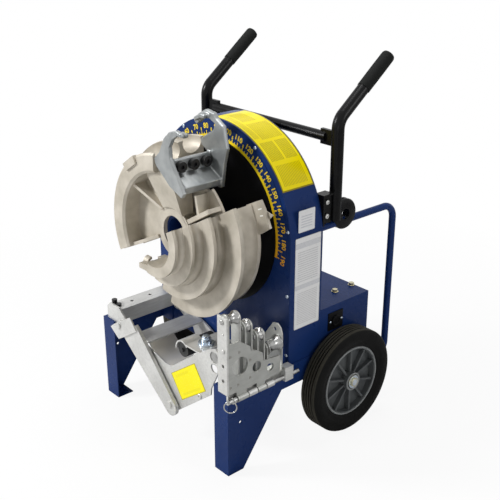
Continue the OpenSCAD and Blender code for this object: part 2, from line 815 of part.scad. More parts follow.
// Zinc knob on a vertical screw
module adjusting_knob() {
  color([0.70, 0.76, 0.82]) at_pivot() translate([knob_x, 60, 45.3]) {
    rod_z([0, 0, -40.3], 6, 42);
    rod_z([0, 0, 0], knob_d / 2, 5);
    rod_z([0, 0, 5], knob_d / 2 - 8, 12);
    translate([0, 0, 17]) linear_extrude(7) hexagon(10);
  }
}

// Pivot pins at both ends of the cradle and the rivet of its arm
module cradle_pins() {
  color([0.60, 0.60, 0.62]) at_pivot() {
    rod_y([0, -9, 0], 7, 21);
    rod_y([0, -13, 0], 10, 4);
    rod_y([0, 200, 0], 7, 12);
    rod_y([0, 196, 0], 10, 4);
    rod_y([230, -4.3, -156], 6, 19.3);
    rod_y([230, -8.3, -156], 9, 4);
  }
}

// One side tube from the housing's back down to the axle bracket
module side_tube() {
  rod_y([tube_x, back_y, tube_z], tube_r, tube_back - tube_r - tube_bend - back_y);
  elbow([tube_x, tube_back - tube_r - tube_bend, tube_z - tube_bend], tube_bend, tube_r, 0, 90);
  rod_z([tube_x, tube_back - tube_r, tube_low + tube_bend], tube_r, tube_z - tube_low - 2 * tube_bend);
  elbow([tube_x, tube_back - tube_r - tube_bend, tube_low + tube_bend], tube_bend, tube_r, -90, 90);
  rod_y([tube_x, axle_y + 22, tube_low], tube_r, tube_back - tube_r - tube_bend - axle_y - 22);
}

module side_tubes() {
  color([0.10, 0.18, 0.42]) site() {
    side_tube();
    mirror([1, 0, 0]) side_tube();
  }
}

// One handle upright with its bend, a hair thicker than the tube, and the core of its grip
module handle_side() {
  bend = 90 - grip_slope;
  grip_start = 90;
  lap = 0.5;
  rod_z([upright_x, upright_y, handle_foot], handle_r, handle_bend_z - handle_foot + lap);
  elbow([upright_x, upright_y + handle_bend_r, handle_bend_z], handle_bend_r, handle_r + thin_air, 180 - bend, bend);
  handle_end() translate([0, 0, -lap]) cylinder(r = handle_r, h = grip_start + lap);
  handle_end() translate([0, 0, grip_start]) cylinder(r = handle_r - 3.5, h = grip_len - 8);
}

// Frame whose Z runs up the sloping part of the handle, from the end of the bend
module handle_end() {
  bend = 90 - grip_slope;
  translate([upright_x, upright_y + handle_bend_r - handle_bend_r * cos(bend), handle_bend_z + handle_bend_r * sin(bend)])
    rotate([-bend, 0, 0]) children();
}

module right_handle() {
  color([0.05, 0.05, 0.05]) site() handle_side();
}

module left_handle() {
  color([0.05, 0.05, 0.05]) site() mirror([1, 0, 0]) handle_side();
}

// Foam grips over the ends of the handle
module hand_grips() {
  grip_start = 90.2;
  color([0.10, 0.10, 0.10]) site() for (side = [0, 1]) mirror([side, 0, 0]) handle_end()
    translate([0, 0, grip_start]) rotate_extrude() polygon([
      [handle_r - 3.4, 0], [handle_r + 1.5, 0], [handle_r + 1.5, grip_len - 5], [handle_r - 2, grip_len],
      [0, grip_len], [0, grip_len - 7.9], [handle_r - 3.4, grip_len - 7.9]
    ]);
}

// Crossbar with flattened ends between the uprights
module handle_crossbar() {
  end_x = upright_x - handle_r;
  bar_z = handle_bend_z - 27;
  color([0.06, 0.06, 0.06]) site() {
    rod_x([-end_x + 22, upright_y, bar_z], 13, 2 * end_x - 44);
    for (side = [0, 1]) mirror([side, 0, 0])
      block([end_x - 40, upright_y - 5, bar_z - 20], [end_x, upright_y + 5, bar_z + 20]);
  }
}

// Gusset, flange and two bolts that carry one upright on the housing's back
module handle_bracket() {
  near = upright_y - handle_r;
  block([upright_x - 3, back_y, handle_foot - 2], [upright_x + 3, near, handle_foot + 82]);
  block([upright_x - 19, back_y, handle_foot - 2], [upright_x + 16, back_y + 5, handle_foot + 82]);
  block([upright_x - 15, back_y, handle_foot + 78], [upright_x + 15, near - 8, handle_foot + 82]);
  for (z = [handle_foot + 20, handle_foot + 58]) {
    rod_x([upright_x + 3, back_y + 22, z], 7, 5);
    rod_x([upright_x - 8, back_y + 22, z], 7, 5);
  }
}

module handle_brackets() {
  color([0.05, 0.05, 0.05]) site() {
    handle_bracket();
    mirror([1, 0, 0]) handle_bracket();
  }
}

// Ring clamp that ties a side tube to the foot of its upright
module tube_clamp() {
  difference() {
    translate([tube_x - 12, upright_y + 37, tube_z + 22]) rotate([0, 90, 0]) difference() {
      cylinder(r = 42, h = 24);
      translate([0, 0, -1]) cylinder(r = 13, h = 26);
    }
    rod_z([upright_x, upright_y, handle_foot - 4], handle_r + thin_air, 90);
    rod_y([tube_x, upright_y - 30, tube_z], tube_r + thin_air, 130);
  }
}

module tube_clamps() {
  color([0.04, 0.04, 0.04]) site() {
    tube_clamp();
    mirror([1, 0, 0]) tube_clamp();
  }
}

// Wheel axle right across the part
module axle() {
  color([0.60, 0.60, 0.60]) site() rod_x([-tyre_out - 6, axle_y, axle_z], axle_r, 2 * tyre_out + 12);
}

// Brackets under the pan that hold the axle and the side tubes
module axle_bracket() {
  difference() {
    union() {
      yz_plate(tube_x - 18, 6) polygon([
        [axle_y - 40, base_z], [axle_y + 22, base_z], [axle_y + 22, tube_low - 14], [axle_y - 20, axle_z - 22],
        [axle_y - 40, axle_z + 10]
      ]);
      block([tube_x - 18, axle_y + 16, tube_low - 14], [tube_x + 14, axle_y + 22, base_z]);
    }
    rod_x([tube_x - 30, axle_y, axle_z], axle_r + thin_air, 40);
  }
}

module axle_brackets() {
  color([0.08, 0.14, 0.36]) site() {
    axle_bracket();
    mirror([1, 0, 0]) axle_bracket();
  }
}

// Tyre with four grooves round its tread
module tyre() {
  shoulder = 12;
  translate([tyre_in, axle_y, axle_z]) rotate([0, 90, 0]) rotate_extrude() difference() {
    polygon([
      [rim_r, 8], [rim_r + 14, 2], [wheel_r - 24, 0], [wheel_r - 4, shoulder * 0.5], [wheel_r, shoulder],
      [wheel_r, tyre_w - shoulder], [wheel_r - 4, tyre_w - shoulder * 0.5], [wheel_r - 24, tyre_w],
      [rim_r + 14, tyre_w - 2], [rim_r, tyre_w - 8]
    ]);
    for (k = [1 : 4]) translate([wheel_r - 5, shoulder + (tyre_w - 2 * shoulder) * (k - 0.5) / 4 - 1.5])
      square([6, 3]);
  }
}

module right_tyre() {
  color([0.12, 0.12, 0.12]) site() tyre();
}

module left_tyre() {
  color([0.12, 0.12, 0.12]) site() mirror([1, 0, 0]) tyre();
}

// Wheel hub: rim, disc, ribs and bored boss
module hub() {
  translate([tyre_in, axle_y, axle_z]) rotate([0, 90, 0]) difference() {
    union() {
      rotate_extrude() {
        translate([rim_r - 8, 8]) square([8, tyre_w - 16]);
        translate([20, tyre_w / 2 - 4]) square([rim_r - 24, 8]);
        translate([axle_r + running, 3]) square([26 - axle_r, tyre_w - 5]);
      }
      for (a = [0 : 36 : 324]) rotate([0, 0, a]) translate([20, -3, 12]) cube([rim_r - 26, 6, tyre_w - 24]);
    }
    translate([0, 0, -1]) cylinder(r = axle_r + running, h = tyre_w + 2);
  }
}

module right_hub() {
  color([0.42, 0.43, 0.44]) site() hub();
}

module left_hub() {
  color([0.42, 0.43, 0.44]) site() mirror([1, 0, 0]) hub();
}

// Washer and nut on each end of the axle
module hub_nuts() {
  color([0.75, 0.72, 0.60]) site() for (side = [0, 1]) mirror([side, 0, 0])
    translate([tyre_out - 1.5, axle_y, axle_z]) rotate([0, 90, 0]) difference() {
      union() {
        cylinder(r = 19, h = 2);
        translate([0, 0, 2]) linear_extrude(5) hexagon(14);
      }
      translate([0, 0, -1]) cylinder(r = axle_r + 0.05, h = 20);
    }
}

front_plate();
side_band();
back_plate();
base_pan();
left_leg();
right_leg();
gearbox_cover();
cover_bolts();
socket_plate();
motor();
reducer();
drive_pinion();
main_gear();
main_shaft();
shaft_bearings();
face_disc();
dial_scale();
front_screws();
shoe_casting();
shoe_left_part();
shoe_hub();
hook_saddle();
hook_bolts();
shoe_pointer();
roller_frame();
unit_end_plate();
unit_screws();
roller_1();
roller_2();
roller_3();
roller_4();
roller_axles();
hinge_base();
pull_pin();
left_rail();
rail_bolts();
cradle_cross_plate();
cradle_front_arm();
cradle_back_arm();
cradle_rail();
label_plate();
support_shell();
roller_yoke();
support_roller();
adjusting_knob();
cradle_pins();
side_tubes();
left_handle();
right_handle();
handle_crossbar();
hand_grips();
handle_brackets();
tube_clamps();
axle();
axle_brackets();
left_tyre();
right_tyre();
left_hub();
right_hub();
hub_nuts();
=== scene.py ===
"""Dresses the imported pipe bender: a finish for every CAD node and the pieces that the solids leave plain."""

import logging
import math
from dataclasses import dataclass
from enum import Enum
from functools import partial, reduce
from typing import Callable, Iterable, Sequence, Union

import bmesh
import bpy
from mathutils import Matrix, Vector


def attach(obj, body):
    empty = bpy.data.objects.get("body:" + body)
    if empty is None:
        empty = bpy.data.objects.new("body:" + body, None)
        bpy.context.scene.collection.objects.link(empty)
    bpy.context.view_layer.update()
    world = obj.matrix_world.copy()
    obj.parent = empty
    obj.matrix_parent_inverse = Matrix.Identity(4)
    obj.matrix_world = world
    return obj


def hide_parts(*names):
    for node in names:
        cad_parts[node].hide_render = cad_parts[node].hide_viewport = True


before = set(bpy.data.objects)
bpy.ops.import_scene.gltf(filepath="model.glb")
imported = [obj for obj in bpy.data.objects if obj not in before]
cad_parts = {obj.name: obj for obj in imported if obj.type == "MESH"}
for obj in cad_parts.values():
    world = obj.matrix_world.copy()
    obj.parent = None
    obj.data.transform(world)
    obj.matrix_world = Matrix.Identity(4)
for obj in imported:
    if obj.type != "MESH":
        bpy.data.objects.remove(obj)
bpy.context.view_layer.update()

log = logging.getLogger("pipe_bender")

Rgb = tuple[float, float, float]
Point = tuple[float, float, float]
Pair = tuple[float, float]
Pairs = tuple[Pair, ...]
Socket = bpy.types.NodeSocket
Value = Union[Socket, float, Sequence[float]]
Key = Union[str, int]
Inputs = dict[Key, Value]
Mesh = bmesh.types.BMesh
Material = bpy.types.Material

# Sizes are millimetres in the drawing frame: X to the right, Y behind the front of the legs, Z above the floor.
MM_PER_M = 1000.0
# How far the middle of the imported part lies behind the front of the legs.
SITE_Y = 314.85
# Height of the shoe's axis, depth of the front plate's face, and half of the housing's width.
AXIS_Z = 585.0
FRONT_Y = 213.7
HALF = 281.0
# Depth and height of the wheels' axle.
AXLE: Pair = (404.7, 152.4)

SIDES = (-1, 1)
FORWARD: Point = (0, -1, 0)
BACKWARD: Point = (0, 1, 0)
TO_RIGHT: Point = (1, 0, 0)
EVEN: Point = (1, 1, 1)
WHITE = (1.0, 1.0, 1.0, 1.0)

# Spans of a noise in which a second colour, and a change of gloss, come in.
PATCHES: Pair = (0.35, 0.68)
WEAR: Pair = (0.3, 0.7)


def at(x: float, y: float, z: float) -> Vector:
    """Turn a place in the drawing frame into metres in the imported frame."""
    return Vector((x, y - SITE_Y, z)) / MM_PER_M


def on_dial(radius: float, clock: float, y: float) -> Vector:
    """Give the place at a radius and a clockwise angle in degrees about the shoe's axis, seen from the front."""
    turn = math.radians(clock)
    return at(radius * math.sin(turn), y, AXIS_Z + radius * math.cos(turn))


def linear(colour: Sequence[float]) -> tuple[float, ...]:
    """Turn a screen colour of 0 to 255 into the linear colour and alpha that a shader takes."""
    return tuple(((c / 255 + 0.055) / 1.055) ** 2.4 if c > 10 else c / 255 / 12.92 for c in colour) + (1.0,)


class Body(Enum):
    """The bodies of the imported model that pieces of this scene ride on."""

    CHASSIS = "chassis"
    SHOE = "shoe"
    ROLLER_UNIT = "roller_unit"
    CRADLE = "cradle"
    LEFT_WHEEL = "left_wheel"
    RIGHT_WHEEL = "right_wheel"


class Graph:
    """Makes and joins the shader nodes of one material or of the world."""

    def __init__(self, owner: bpy.types.ID, surface: str = "Principled BSDF") -> None:
        """Start with the owner's own nodes.

        Args:
            owner: The material or the world.
            surface: The name of its shader node.
        """
        owner.use_nodes = True
        self.owner = owner
        self.tree = owner.node_tree
        self.surface = self.tree.nodes[surface]

    def fill(self, node: bpy.types.ShaderNode, values: Inputs) -> None:
        """Link outputs to a node's inputs, or write plain values into them.

        Args:
            node: The node.
            values: An output, a number or a colour for each input.
        """
        for key, value in values.items():
            if isinstance(value, Socket):
                self.tree.links.new(value, node.inputs[key])
            else:
                node.inputs[key].default_value = value

    def add(self, kind: str, values: Inputs, output: Key = 0, **settings: object) -> Socket:
        """Add a node, fill its inputs and give one of its outputs.

        Args:
            kind: The node's type without its ShaderNode prefix.
            values: What its inputs take.
            output: The output that is asked for.
            **settings: Properties to set on the node first.

        Returns:
            The output.
        """
        made = self.tree.nodes.new("ShaderNode" + kind)
        for key, value in settings.items():
            setattr(made, key, value)
        self.fill(made, values)
        return made.outputs[output]

    def coords(self, kind: str) -> Socket:
        """Give Object or UV coordinates."""
        return self.add("TexCoord", {}, kind)

    def split(self, kind: str) -> bpy.types.NodeOutputs:
        """Take Object or UV coordinates apart into the outputs X, Y and Z."""
        return self.add("SeparateXYZ", {0: self.coords(kind)}).node.outputs

    def noise(self, scale: float, detail: float = 4.0, stretch: Point = EVEN) -> Socket:
        """Give noise with so many cells per metre and so many octaves, its axes stretched first."""
        place = self.add("Mapping", {"Scale": stretch, "Vector": self.coords("Object")}, "Vector")
        return self.add("TexNoise", {"Scale": scale, "Detail": detail, "Vector": place}, "Fac")

    def cells(self, scale: float) -> Socket:
        """Give the distance from the nearest cell's middle, with so many cells per metre."""
        return self.add("TexVoronoi", {"Scale": scale, "Vector": self.coords("Object")}, "Distance")

    def span(self, value: Value, source: Pair, result: Pair = (0.0, 1.0)) -> Socket:
        """Map a value from one span to another, clamped."""
        names = ("Value", "From Min", "From Max", "To Min", "To Max")
        return self.add("MapRange", dict(zip(names, (value, *source, *result))), "Result")

    def math(self, operation: str, first: Value, second: Value = 0.0) -> Socket:
        """Give the result of one operation on one or two values."""
        return self.add("Math", {0: first, 1: second}, operation=operation)

    def product(self, *values: Value) -> Socket:
        """Give the product of several values."""
        return reduce(partial(self.math, "MULTIPLY"), values)

    def reach(self, first: Socket, second: Socket) -> Socket:
        """Give the distance that two offsets at right angles make."""
        return self.math("SQRT", self.math("ADD", self.product(first, first), self.product(second, second)))

    def mix(self, share: Value, first: Value, second: Value) -> Socket:
        """Mix two colours by the share of the second one."""
        return self.add("Mix", {"Factor": share, 6: first, 7: second}, 2, data_type="RGBA")

    def relief(self, height: Socket, depth: float, normal: Union[Socket, None] = None) -> Socket:
        """Give the normal of a pattern that is so many millimetres deep, laid over another normal if one is given."""
        values = {"Strength": 1.0, "Distance": depth / MM_PER_M, "Height": height}
        return self.add("Bump", values if normal is None else {**values, "Normal": normal}, "Normal")

    def soft_edges(self, radius: float) -> Socket:
        """Give a normal that rounds the edges off by a radius in millimetres."""
        return self.add("Bevel", {"Radius": radius / MM_PER_M}, "Normal", samples=6)

    def finish(self, colour: Value, roughness: Value, normal: Socket) -> Material:
        """Join the three patterns that every finish has, and give the material."""
        self.fill(self.surface, {"Base Color": colour, "Roughness": roughness, "Normal": normal})
        return self.owner

    def blend(self, share: Value, other: Socket, output: str) -> None:
        """Blend the surface with a share of another shader and send both to an output node."""
        mixed = self.add("MixShader", {"Fac": share, 1: self.surface.outputs[0], 2: other})
        self.fill(self.tree.nodes[output], {"Surface": mixed})


@dataclass(frozen=True)
class Finish:
    """A solid finish: two colours in patches, a grain, softened edges and its gloss.

    Patches and grain are in cells per metre, the grain's depth and the edges' radius in millimetres.
    """

    name: str
    colour: Rgb
    shade: Rgb
    slot: str
    roughness: Pair
    metallic: float = 0.0
    specular: float = 0.5
    coat: float = 0.0
    patch: float = 9.0
    grain: float = 900.0
    depth: float = 0.03
    stretch: Point = EVEN
    edge: float = 0.8

    def start(self) -> Graph:
        """Start the graph and set the sockets that are the same all over.

        Returns:
            The graph.
        """
        graph = Graph(bpy.data.materials.new(self.name))
        graph.fill(graph.surface, {
            "Metallic": self.metallic, "Specular IOR Level": self.specular, "Coat Weight": self.coat,
            "Coat Roughness": 0.08,
        })
        return graph

    def skin(self, graph: Graph, detail: float, span: Pair = PATCHES, stretch: Point = EVEN) -> Socket:
        """Lay the second colour over the first in patches of so many octaves."""
        patches = graph.span(graph.noise(self.patch, detail, stretch), span)
        return graph.mix(patches, linear(self.colour), linear(self.shade))

    def gloss(self, graph: Graph, scale: float, detail: float, stretch: Point = EVEN) -> Socket:
        """Vary the roughness between its two limits by a noise."""
        return graph.span(graph.noise(scale, detail, stretch), WEAR, self.roughness)

    def normal(self, graph: Graph) -> Socket:
        """Give the grain's bump over the softened edges."""
        grain = graph.noise(self.grain, 3, self.stretch)
        return graph.relief(grain, self.depth, graph.soft_edges(self.edge))

    def build(self) -> Material:
        """Make the material.

        Returns:
            The material.
        """
        graph = self.start()
        colour = self.skin(graph, 6, stretch=self.stretch)
        return graph.finish(colour, self.gloss(graph, self.patch * 4, 5, self.stretch), self.normal(graph))


@dataclass(frozen=True)
class Casting(Finish):
    """A sand casting: coarse mottling, dark pits and a rough skin."""

    mottle: Pair = (0.36, 0.66)
    pit: float = 420.0
    pit_colour: Rgb = (96, 88, 78)
    pit_share: float = 0.55

    def build(self) -> Material:
        """Make the material.

        Returns:
            The material.
        """
        graph = self.start()
        pits = graph.span(graph.cells(self.pit), (0.16, 0.06))
        fields = graph.span(graph.noise(60, 4), (0.5, 0.62))
        share = graph.product(pits, fields, self.pit_share)
        colour = graph.mix(share, self.skin(graph, 7, self.mottle), linear(self.pit_colour))
        sand = graph.relief(graph.noise(self.grain, 5), self.depth, graph.soft_edges(self.edge))
        waves = graph.relief(graph.noise(90, 3), self.depth * 3, sand)
        return graph.finish(colour, self.gloss(graph, self.patch * 5, 4), waves)


@dataclass(frozen=True)
class Plated(Finish):
    """Zinc-plated steel: fine rolling streaks, dull spots and a few scuffs."""

    scuff: Rgb = (120, 118, 112)
    streak_share: float = 0.18
    spot_share: float = 0.35

    def build(self) -> Material:
        """Make the material.

        Returns:
            The material.
        """
        graph = self.start()
        scuff = linear(self.scuff)
        streaks = graph.span(graph.noise(170, 5, (1, 0.12, 1)), (0.42, 0.72))
        streaked = graph.mix(graph.product(streaks, self.streak_share), self.skin(graph, 6), scuff)
        spots = graph.span(graph.cells(130), (0.12, 0.05))
        colour = graph.mix(graph.product(spots, self.spot_share), streaked, scuff)
        return graph.finish(colour, self.gloss(graph, 120, 4, (1, 0.2, 1)), self.normal(graph))


@dataclass(frozen=True)
class Foam(Finish):
    """Closed-cell foam or rubber with a fine pebbled skin."""

    pebble: float = 1500.0

    def build(self) -> Material:
        """Make the material.

        Returns:
            The material.
        """
        graph = self.start()
        pebbles = graph.relief(graph.cells(self.pebble), self.depth, graph.soft_edges(self.edge))
        swell = graph.relief(graph.noise(80, 4), self.depth, pebbles)
        return graph.finish(self.skin(graph, 5), self.gloss(graph, 300, 3), swell)


@dataclass(frozen=True)
class Tread(Foam):
    """Tyre rubber, dusty on its tread and black on its walls, told apart by the distance from the axle; the dust on
    the ridges' outer faces is also a painted highlight.
    """

    # Dust colour, which also serves as a painted highlight on the ridges' outer faces.
    dust_and_highlight: Rgb = (62, 60, 53)
    tread: Pair = (149.6, 151.4)

    def build(self) -> Material:
        """Make the material.

        Returns:
            The material.
        """
        graph = self.start()
        place = graph.split("Object")
        centre = at(0, *AXLE)
        back, up = (graph.math("SUBTRACT", place[way], centre[number]) for way, number in (("Y", 1), ("Z", 2)))
        wall, crown = self.tread
        on_tread = graph.span(graph.reach(back, up), (wall / MM_PER_M, crown / MM_PER_M))
        # Dust and painted highlight: the lighter colour lies only where the radius reaches the ridges' outer faces,
        # so the ridges read lit and the grooves dark.
        dust_and_highlight_share = graph.product(on_tread, graph.span(graph.noise(40, 4), (0.2, 0.7), (0.7, 1.0)))
        colour = graph.mix(dust_and_highlight_share, self.skin(graph, 5), linear(self.dust_and_highlight))
        relief = graph.relief(graph.cells(self.pebble), self.depth)
        return graph.finish(colour, self.gloss(graph, 300, 3), relief)


@dataclass(frozen=True)
class Ink(Finish):
    """Printed ink that warms from yellow to orange towards the lower end of the dial."""

    warm: Pair = (0.72, 0.50)
    rubbed: Rgb = (60, 50, 20)

    def build(self) -> Material:
        """Make the material.

        Returns:
            The material.
        """
        graph = self.start()
        warmth = graph.span(graph.split("Object")["Z"], self.warm)
        ink = graph.mix(warmth, linear(self.colour), linear(self.shade))
        worn = graph.span(graph.noise(500, 3), (0.62, 0.8), (0.0, 0.35))
        relief = graph.relief(graph.noise(self.grain, 2), self.depth)
        return graph.finish(graph.mix(worn, ink, linear(self.rubbed)), self.roughness[1], relief)


@dataclass(frozen=True)
class Sheet(Finish):
    """A printed sheet with a border, bands and plain bars in blocks, read from the piece's own UV map.

    A block is its left, low, right and high edge, its number of bars and how strongly they show.
    A band is its low and high edge and its colour. The border is its two widths and its strength.
    """

    ink: Rgb = (30, 28, 20)
    blocks: tuple[tuple[float, float, float, float, int, float], ...] = ()
    bands: tuple[tuple[float, float, Rgb], ...] = ()
    border: Point = (0.0, 0.0, 0.0)

    def inside(self, graph: Graph, value: Socket, low: float, high: float) -> Socket:
        """Give 1 where a value lies between two limits and 0 elsewhere."""
        return graph.product(graph.math("GREATER_THAN", value, low), graph.math("LESS_THAN", value, high))

    def build(self) -> Material:
        """Make the material.

        Returns:
            The material.
        """
        graph = self.start()
        place = graph.split("UV")
        across, up = place["X"], place["Y"]
        colour = self.skin(graph, 5)
        for low, high, band in self.bands:
            colour = graph.mix(self.inside(graph, up, low, high), colour, linear(band))
        for left, low, right, high, bars, strength in self.blocks:
            row = graph.product(graph.math("SUBTRACT", up, low), bars / (high - low))
            bar = graph.math("LESS_THAN", graph.math("FRACT", row), 0.5)
            area = graph.product(self.inside(graph, across, left, right), self.inside(graph, up, low, high))
            colour = graph.mix(graph.product(area, bar, strength), colour, linear(self.ink))
        wide, tall, strength = self.border
        field = graph.product(self.inside(graph, across, wide, 1 - wide), self.inside(graph, up, tall, 1 - tall))
        colour = graph.mix(graph.product(graph.math("SUBTRACT", 1.0, field), strength), colour, linear(self.ink))
        relief = graph.relief(graph.noise(self.grain, 2), self.depth)
        return graph.finish(colour, self.gloss(graph, 200, 3), relief)


NAVY = Finish(
    "navy enamel", (27, 53, 108), (23, 46, 97), "blue_paint", (0.24, 0.34), specular=0.09, patch=5, grain=700,
    depth=0.012, edge=1.3,
)
BLACK_GLOSS = Finish(
    "black enamel", (13, 13, 14), (18, 18, 19), "black_paint", (0.2, 0.3), specular=0.13, grain=650, depth=0.012,
)
BLACK_FACE = Finish(
    "black facing", (9, 9, 11), (13, 13, 15), "black_plastic", (0.34, 0.46), specular=0.1, patch=12, grain=1200,
    depth=0.02, edge=0.6,
)
BLACK_OXIDE = Finish(
    "blackened steel", (20, 20, 21), (34, 33, 33), "black_oxide", (0.28, 0.42), metallic=0.4, patch=60, edge=1.0,
)
BLACK_RUBBER = Foam(
    "roller rubber", (26, 27, 27), (36, 36, 35), "black_rubber", (0.5, 0.65), patch=40, depth=0.05, edge=1.0,
)
CAST_SHOE = Casting(
    "cast shoe", (200, 193, 180), (172, 165, 151), "cast_aluminium", (0.4, 0.56), metallic=0.25, specular=0.3,
    patch=16, grain=560, depth=0.1, edge=1.2,
)
CAST_HOOK = Casting(
    "cast hook", (162, 165, 165), (135, 139, 140), "hook_aluminium", (0.28, 0.42), metallic=0.6, patch=20,
    grain=700, depth=0.05, edge=1.8, pit=500.0, pit_colour=(120, 122, 124),
)
ZINC = Plated(
    "zinc plate", (213, 213, 210), (197, 197, 194), "zinc", (0.3, 0.44), metallic=0.45, patch=14, grain=800,
    depth=0.02, edge=1.0,
)
# Zinc plate painted darker for the roller frame: painted shade on its side, which faces away from the key lamp.
PAINTED_SHADE_ZINC = Plated(
    "zinc plate with painted shade", (184, 185, 181), (164, 165, 161), "zinc", (0.3, 0.44), metallic=0.55, patch=16, grain=800,
    depth=0.02, edge=1.0,
)
BRIGHT_ZINC = Plated(
    "bright zinc", (205, 214, 224), (176, 190, 206), "bright_zinc", (0.14, 0.26), metallic=0.85, patch=40,
    depth=0.02, edge=0.9,
)
YELLOW_ZINC = Plated(
    "yellow zinc", (206, 200, 172), (188, 178, 142), "bright_zinc", (0.18, 0.3), metallic=0.8, patch=50, depth=0.02,
    edge=0.9,
)
# Pale sheet for the support shell, made paler than the zinc plate as painted light on a sheet that sits in shade.
PAINTED_LIGHT_SHEET = Finish(
    "sheet with painted light", (232, 230, 224), (216, 213, 205), "zinc", (0.34, 0.46), metallic=0.75, grain=1100, depth=0.012,
    stretch=(1, 0.15, 1), edge=0.7,
)
ROLLER_STEEL = Finish(
    "turned steel", (176, 176, 174), (138, 138, 137), "roller_steel", (0.16, 0.28), metallic=0.95, patch=50,
    grain=1500, depth=0.012, stretch=(0.2, 1, 0.2), edge=0.7,
)
GEAR_STEEL = Finish(
    "gear steel", (150, 150, 152), (120, 119, 118), "gear_steel", (0.25, 0.4), metallic=0.9, patch=30, grain=1200,
    stretch=(0.3, 1, 0.3),
)
MOTOR_GREY = Finish(
    "motor enamel", (62, 66, 72), (52, 56, 62), "motor_paint", (0.4, 0.55), patch=18, grain=500, depth=0.05,
    edge=1.2,
)
REDUCER_IRON = Casting(
    "reducer iron", (96, 99, 104), (80, 83, 88), "reducer_iron", (0.5, 0.7), metallic=0.3, patch=22, grain=420,
    depth=0.12, edge=2.0, pit_colour=(50, 50, 52),
)
GRIP_FOAM = Foam(
    "grip foam", (31, 32, 31), (31, 32, 32), "grip_foam", (0.75, 0.9), specular=0.1, patch=30, depth=0.16, edge=1.0,
    pebble=900.0,
)
TYRE_RUBBER = Tread(
    "tyre rubber", (11, 11, 11), (16, 16, 15), "tyre_rubber", (0.5, 0.7), specular=0.08, patch=25, depth=0.05,
)
WHEEL_GREY = Finish(
    "wheel plastic", (92, 95, 96), (78, 81, 83), "wheel_grey", (0.32, 0.46), specular=0.2, patch=18, grain=600,
    edge=1.2,
)
RIM_GREY = Finish(
    "rim plastic", (142, 145, 145), (124, 127, 128), "wheel_grey", (0.3, 0.42), patch=18, grain=600, edge=0.6,
)
DIAL_INK = Ink(
    "dial ink", (254, 222, 16), (240, 156, 24), "yellow_scale", (0.4, 0.45), depth=0.01,
)
WHITE_INK = Finish(
    "white ink", (238, 238, 232), (222, 222, 216), "hook_aluminium", (0.45, 0.55), patch=80, edge=0.3,
)
DARK_MARK = Finish(
    "stamped mark", (70, 58, 40), (96, 82, 60), "zinc", (0.5, 0.7), patch=160, edge=0.3,
)
BAND_SHEET = Sheet(
    "yellow band sheet", (252, 233, 8), (247, 226, 4), "yellow_scale", (0.16, 0.26), specular=0.2, depth=0.01,
    ink=(96, 84, 14), border=(0.012, 0.03, 0.8),
    blocks=(
        (0.06, 0.30, 0.26, 0.72, 9, 0.5), (0.10, 0.08, 0.50, 0.24, 5, 0.4), (0.30, 0.28, 0.52, 0.92, 14, 0.5),
        (0.55, 0.10, 0.74, 0.50, 10, 0.6), (0.55, 0.56, 0.74, 0.92, 9, 0.6), (0.78, 0.12, 0.96, 0.88, 17, 0.45),
    ),
)
CRADLE_SHEET = Sheet(
    "yellow cradle sheet", (253, 240, 8), (250, 234, 4), "yellow_scale", (0.2, 0.3), specular=0.2, depth=0.01,
    ink=(120, 106, 16), border=(0.022, 0.022, 0.7),
    blocks=((0.14, 0.78, 0.64, 0.88, 3, 0.2), (0.14, 0.12, 0.86, 0.2, 3, 0.2)),
)
WHITE_CARD = Sheet(
    "white card", (249, 249, 250), (243, 244, 245), "hook_aluminium", (0.25, 0.35), coat=0.15, depth=0.01,
    ink=(168, 173, 186), border=(0.03, 0.03, 0.2),
    blocks=((0.16, 0.2, 0.84, 0.8, 5, 0.4),),
)
WHITE_PANEL = Sheet(
    "white panel", (249, 249, 249), (243, 243, 243), "hook_aluminium", (0.25, 0.35), coat=0.15, depth=0.01,
    ink=(158, 158, 161), border=(0.02, 0.008, 0.25),
    bands=((0.885, 0.945, (222, 223, 226)), (0.44, 0.49, (222, 223, 226))),
    blocks=((0.10, 0.52, 0.90, 0.86, 14, 0.35), (0.10, 0.05, 0.90, 0.41, 18, 0.35)),
)

NODE_FINISHES: dict[Finish, tuple[str, ...]] = {
    NAVY: (
        "front_plate", "side_band", "back_plate", "base_pan", "left_leg", "right_leg", "gearbox_cover", "main_shaft",
        "dial_scale", "side_tubes", "axle_brackets",
    ),
    BLACK_GLOSS: ("left_handle", "right_handle", "handle_crossbar", "handle_brackets", "tube_clamps"),
    BLACK_FACE: ("face_disc", "socket_plate"),
    BLACK_OXIDE: ("hook_bolts", "rail_bolts"),
    BLACK_RUBBER: ("support_roller",),
    CAST_SHOE: ("shoe_casting", "shoe_left_part", "shoe_hub", "shoe_pointer"),
    CAST_HOOK: ("hook_saddle",),
    # Zinc with painted shade for the roller frame.
    PAINTED_SHADE_ZINC: ("roller_frame",),
    ZINC: (
        "unit_end_plate", "hinge_base", "left_rail", "cradle_cross_plate", "cradle_front_arm", "cradle_back_arm",
        "cradle_rail", "label_plate", "roller_yoke", "unit_screws", "cradle_pins", "front_screws",
    ),
    # Pale sheet with painted light for the support shell.
    PAINTED_LIGHT_SHEET: ("support_shell",),
    BRIGHT_ZINC: ("adjusting_knob", "axle"),
    YELLOW_ZINC: ("hub_nuts", "cover_bolts"),
    ROLLER_STEEL: ("roller_1", "roller_2", "roller_3", "roller_4", "roller_axles", "pull_pin"),
    GEAR_STEEL: ("main_gear", "drive_pinion", "shaft_bearings"),
    MOTOR_GREY: ("motor",),
    REDUCER_IRON: ("reducer",),
    GRIP_FOAM: ("hand_grips",),
    TYRE_RUBBER: ("left_tyre", "right_tyre"),
    WHEEL_GREY: ("left_hub", "right_hub"),
}


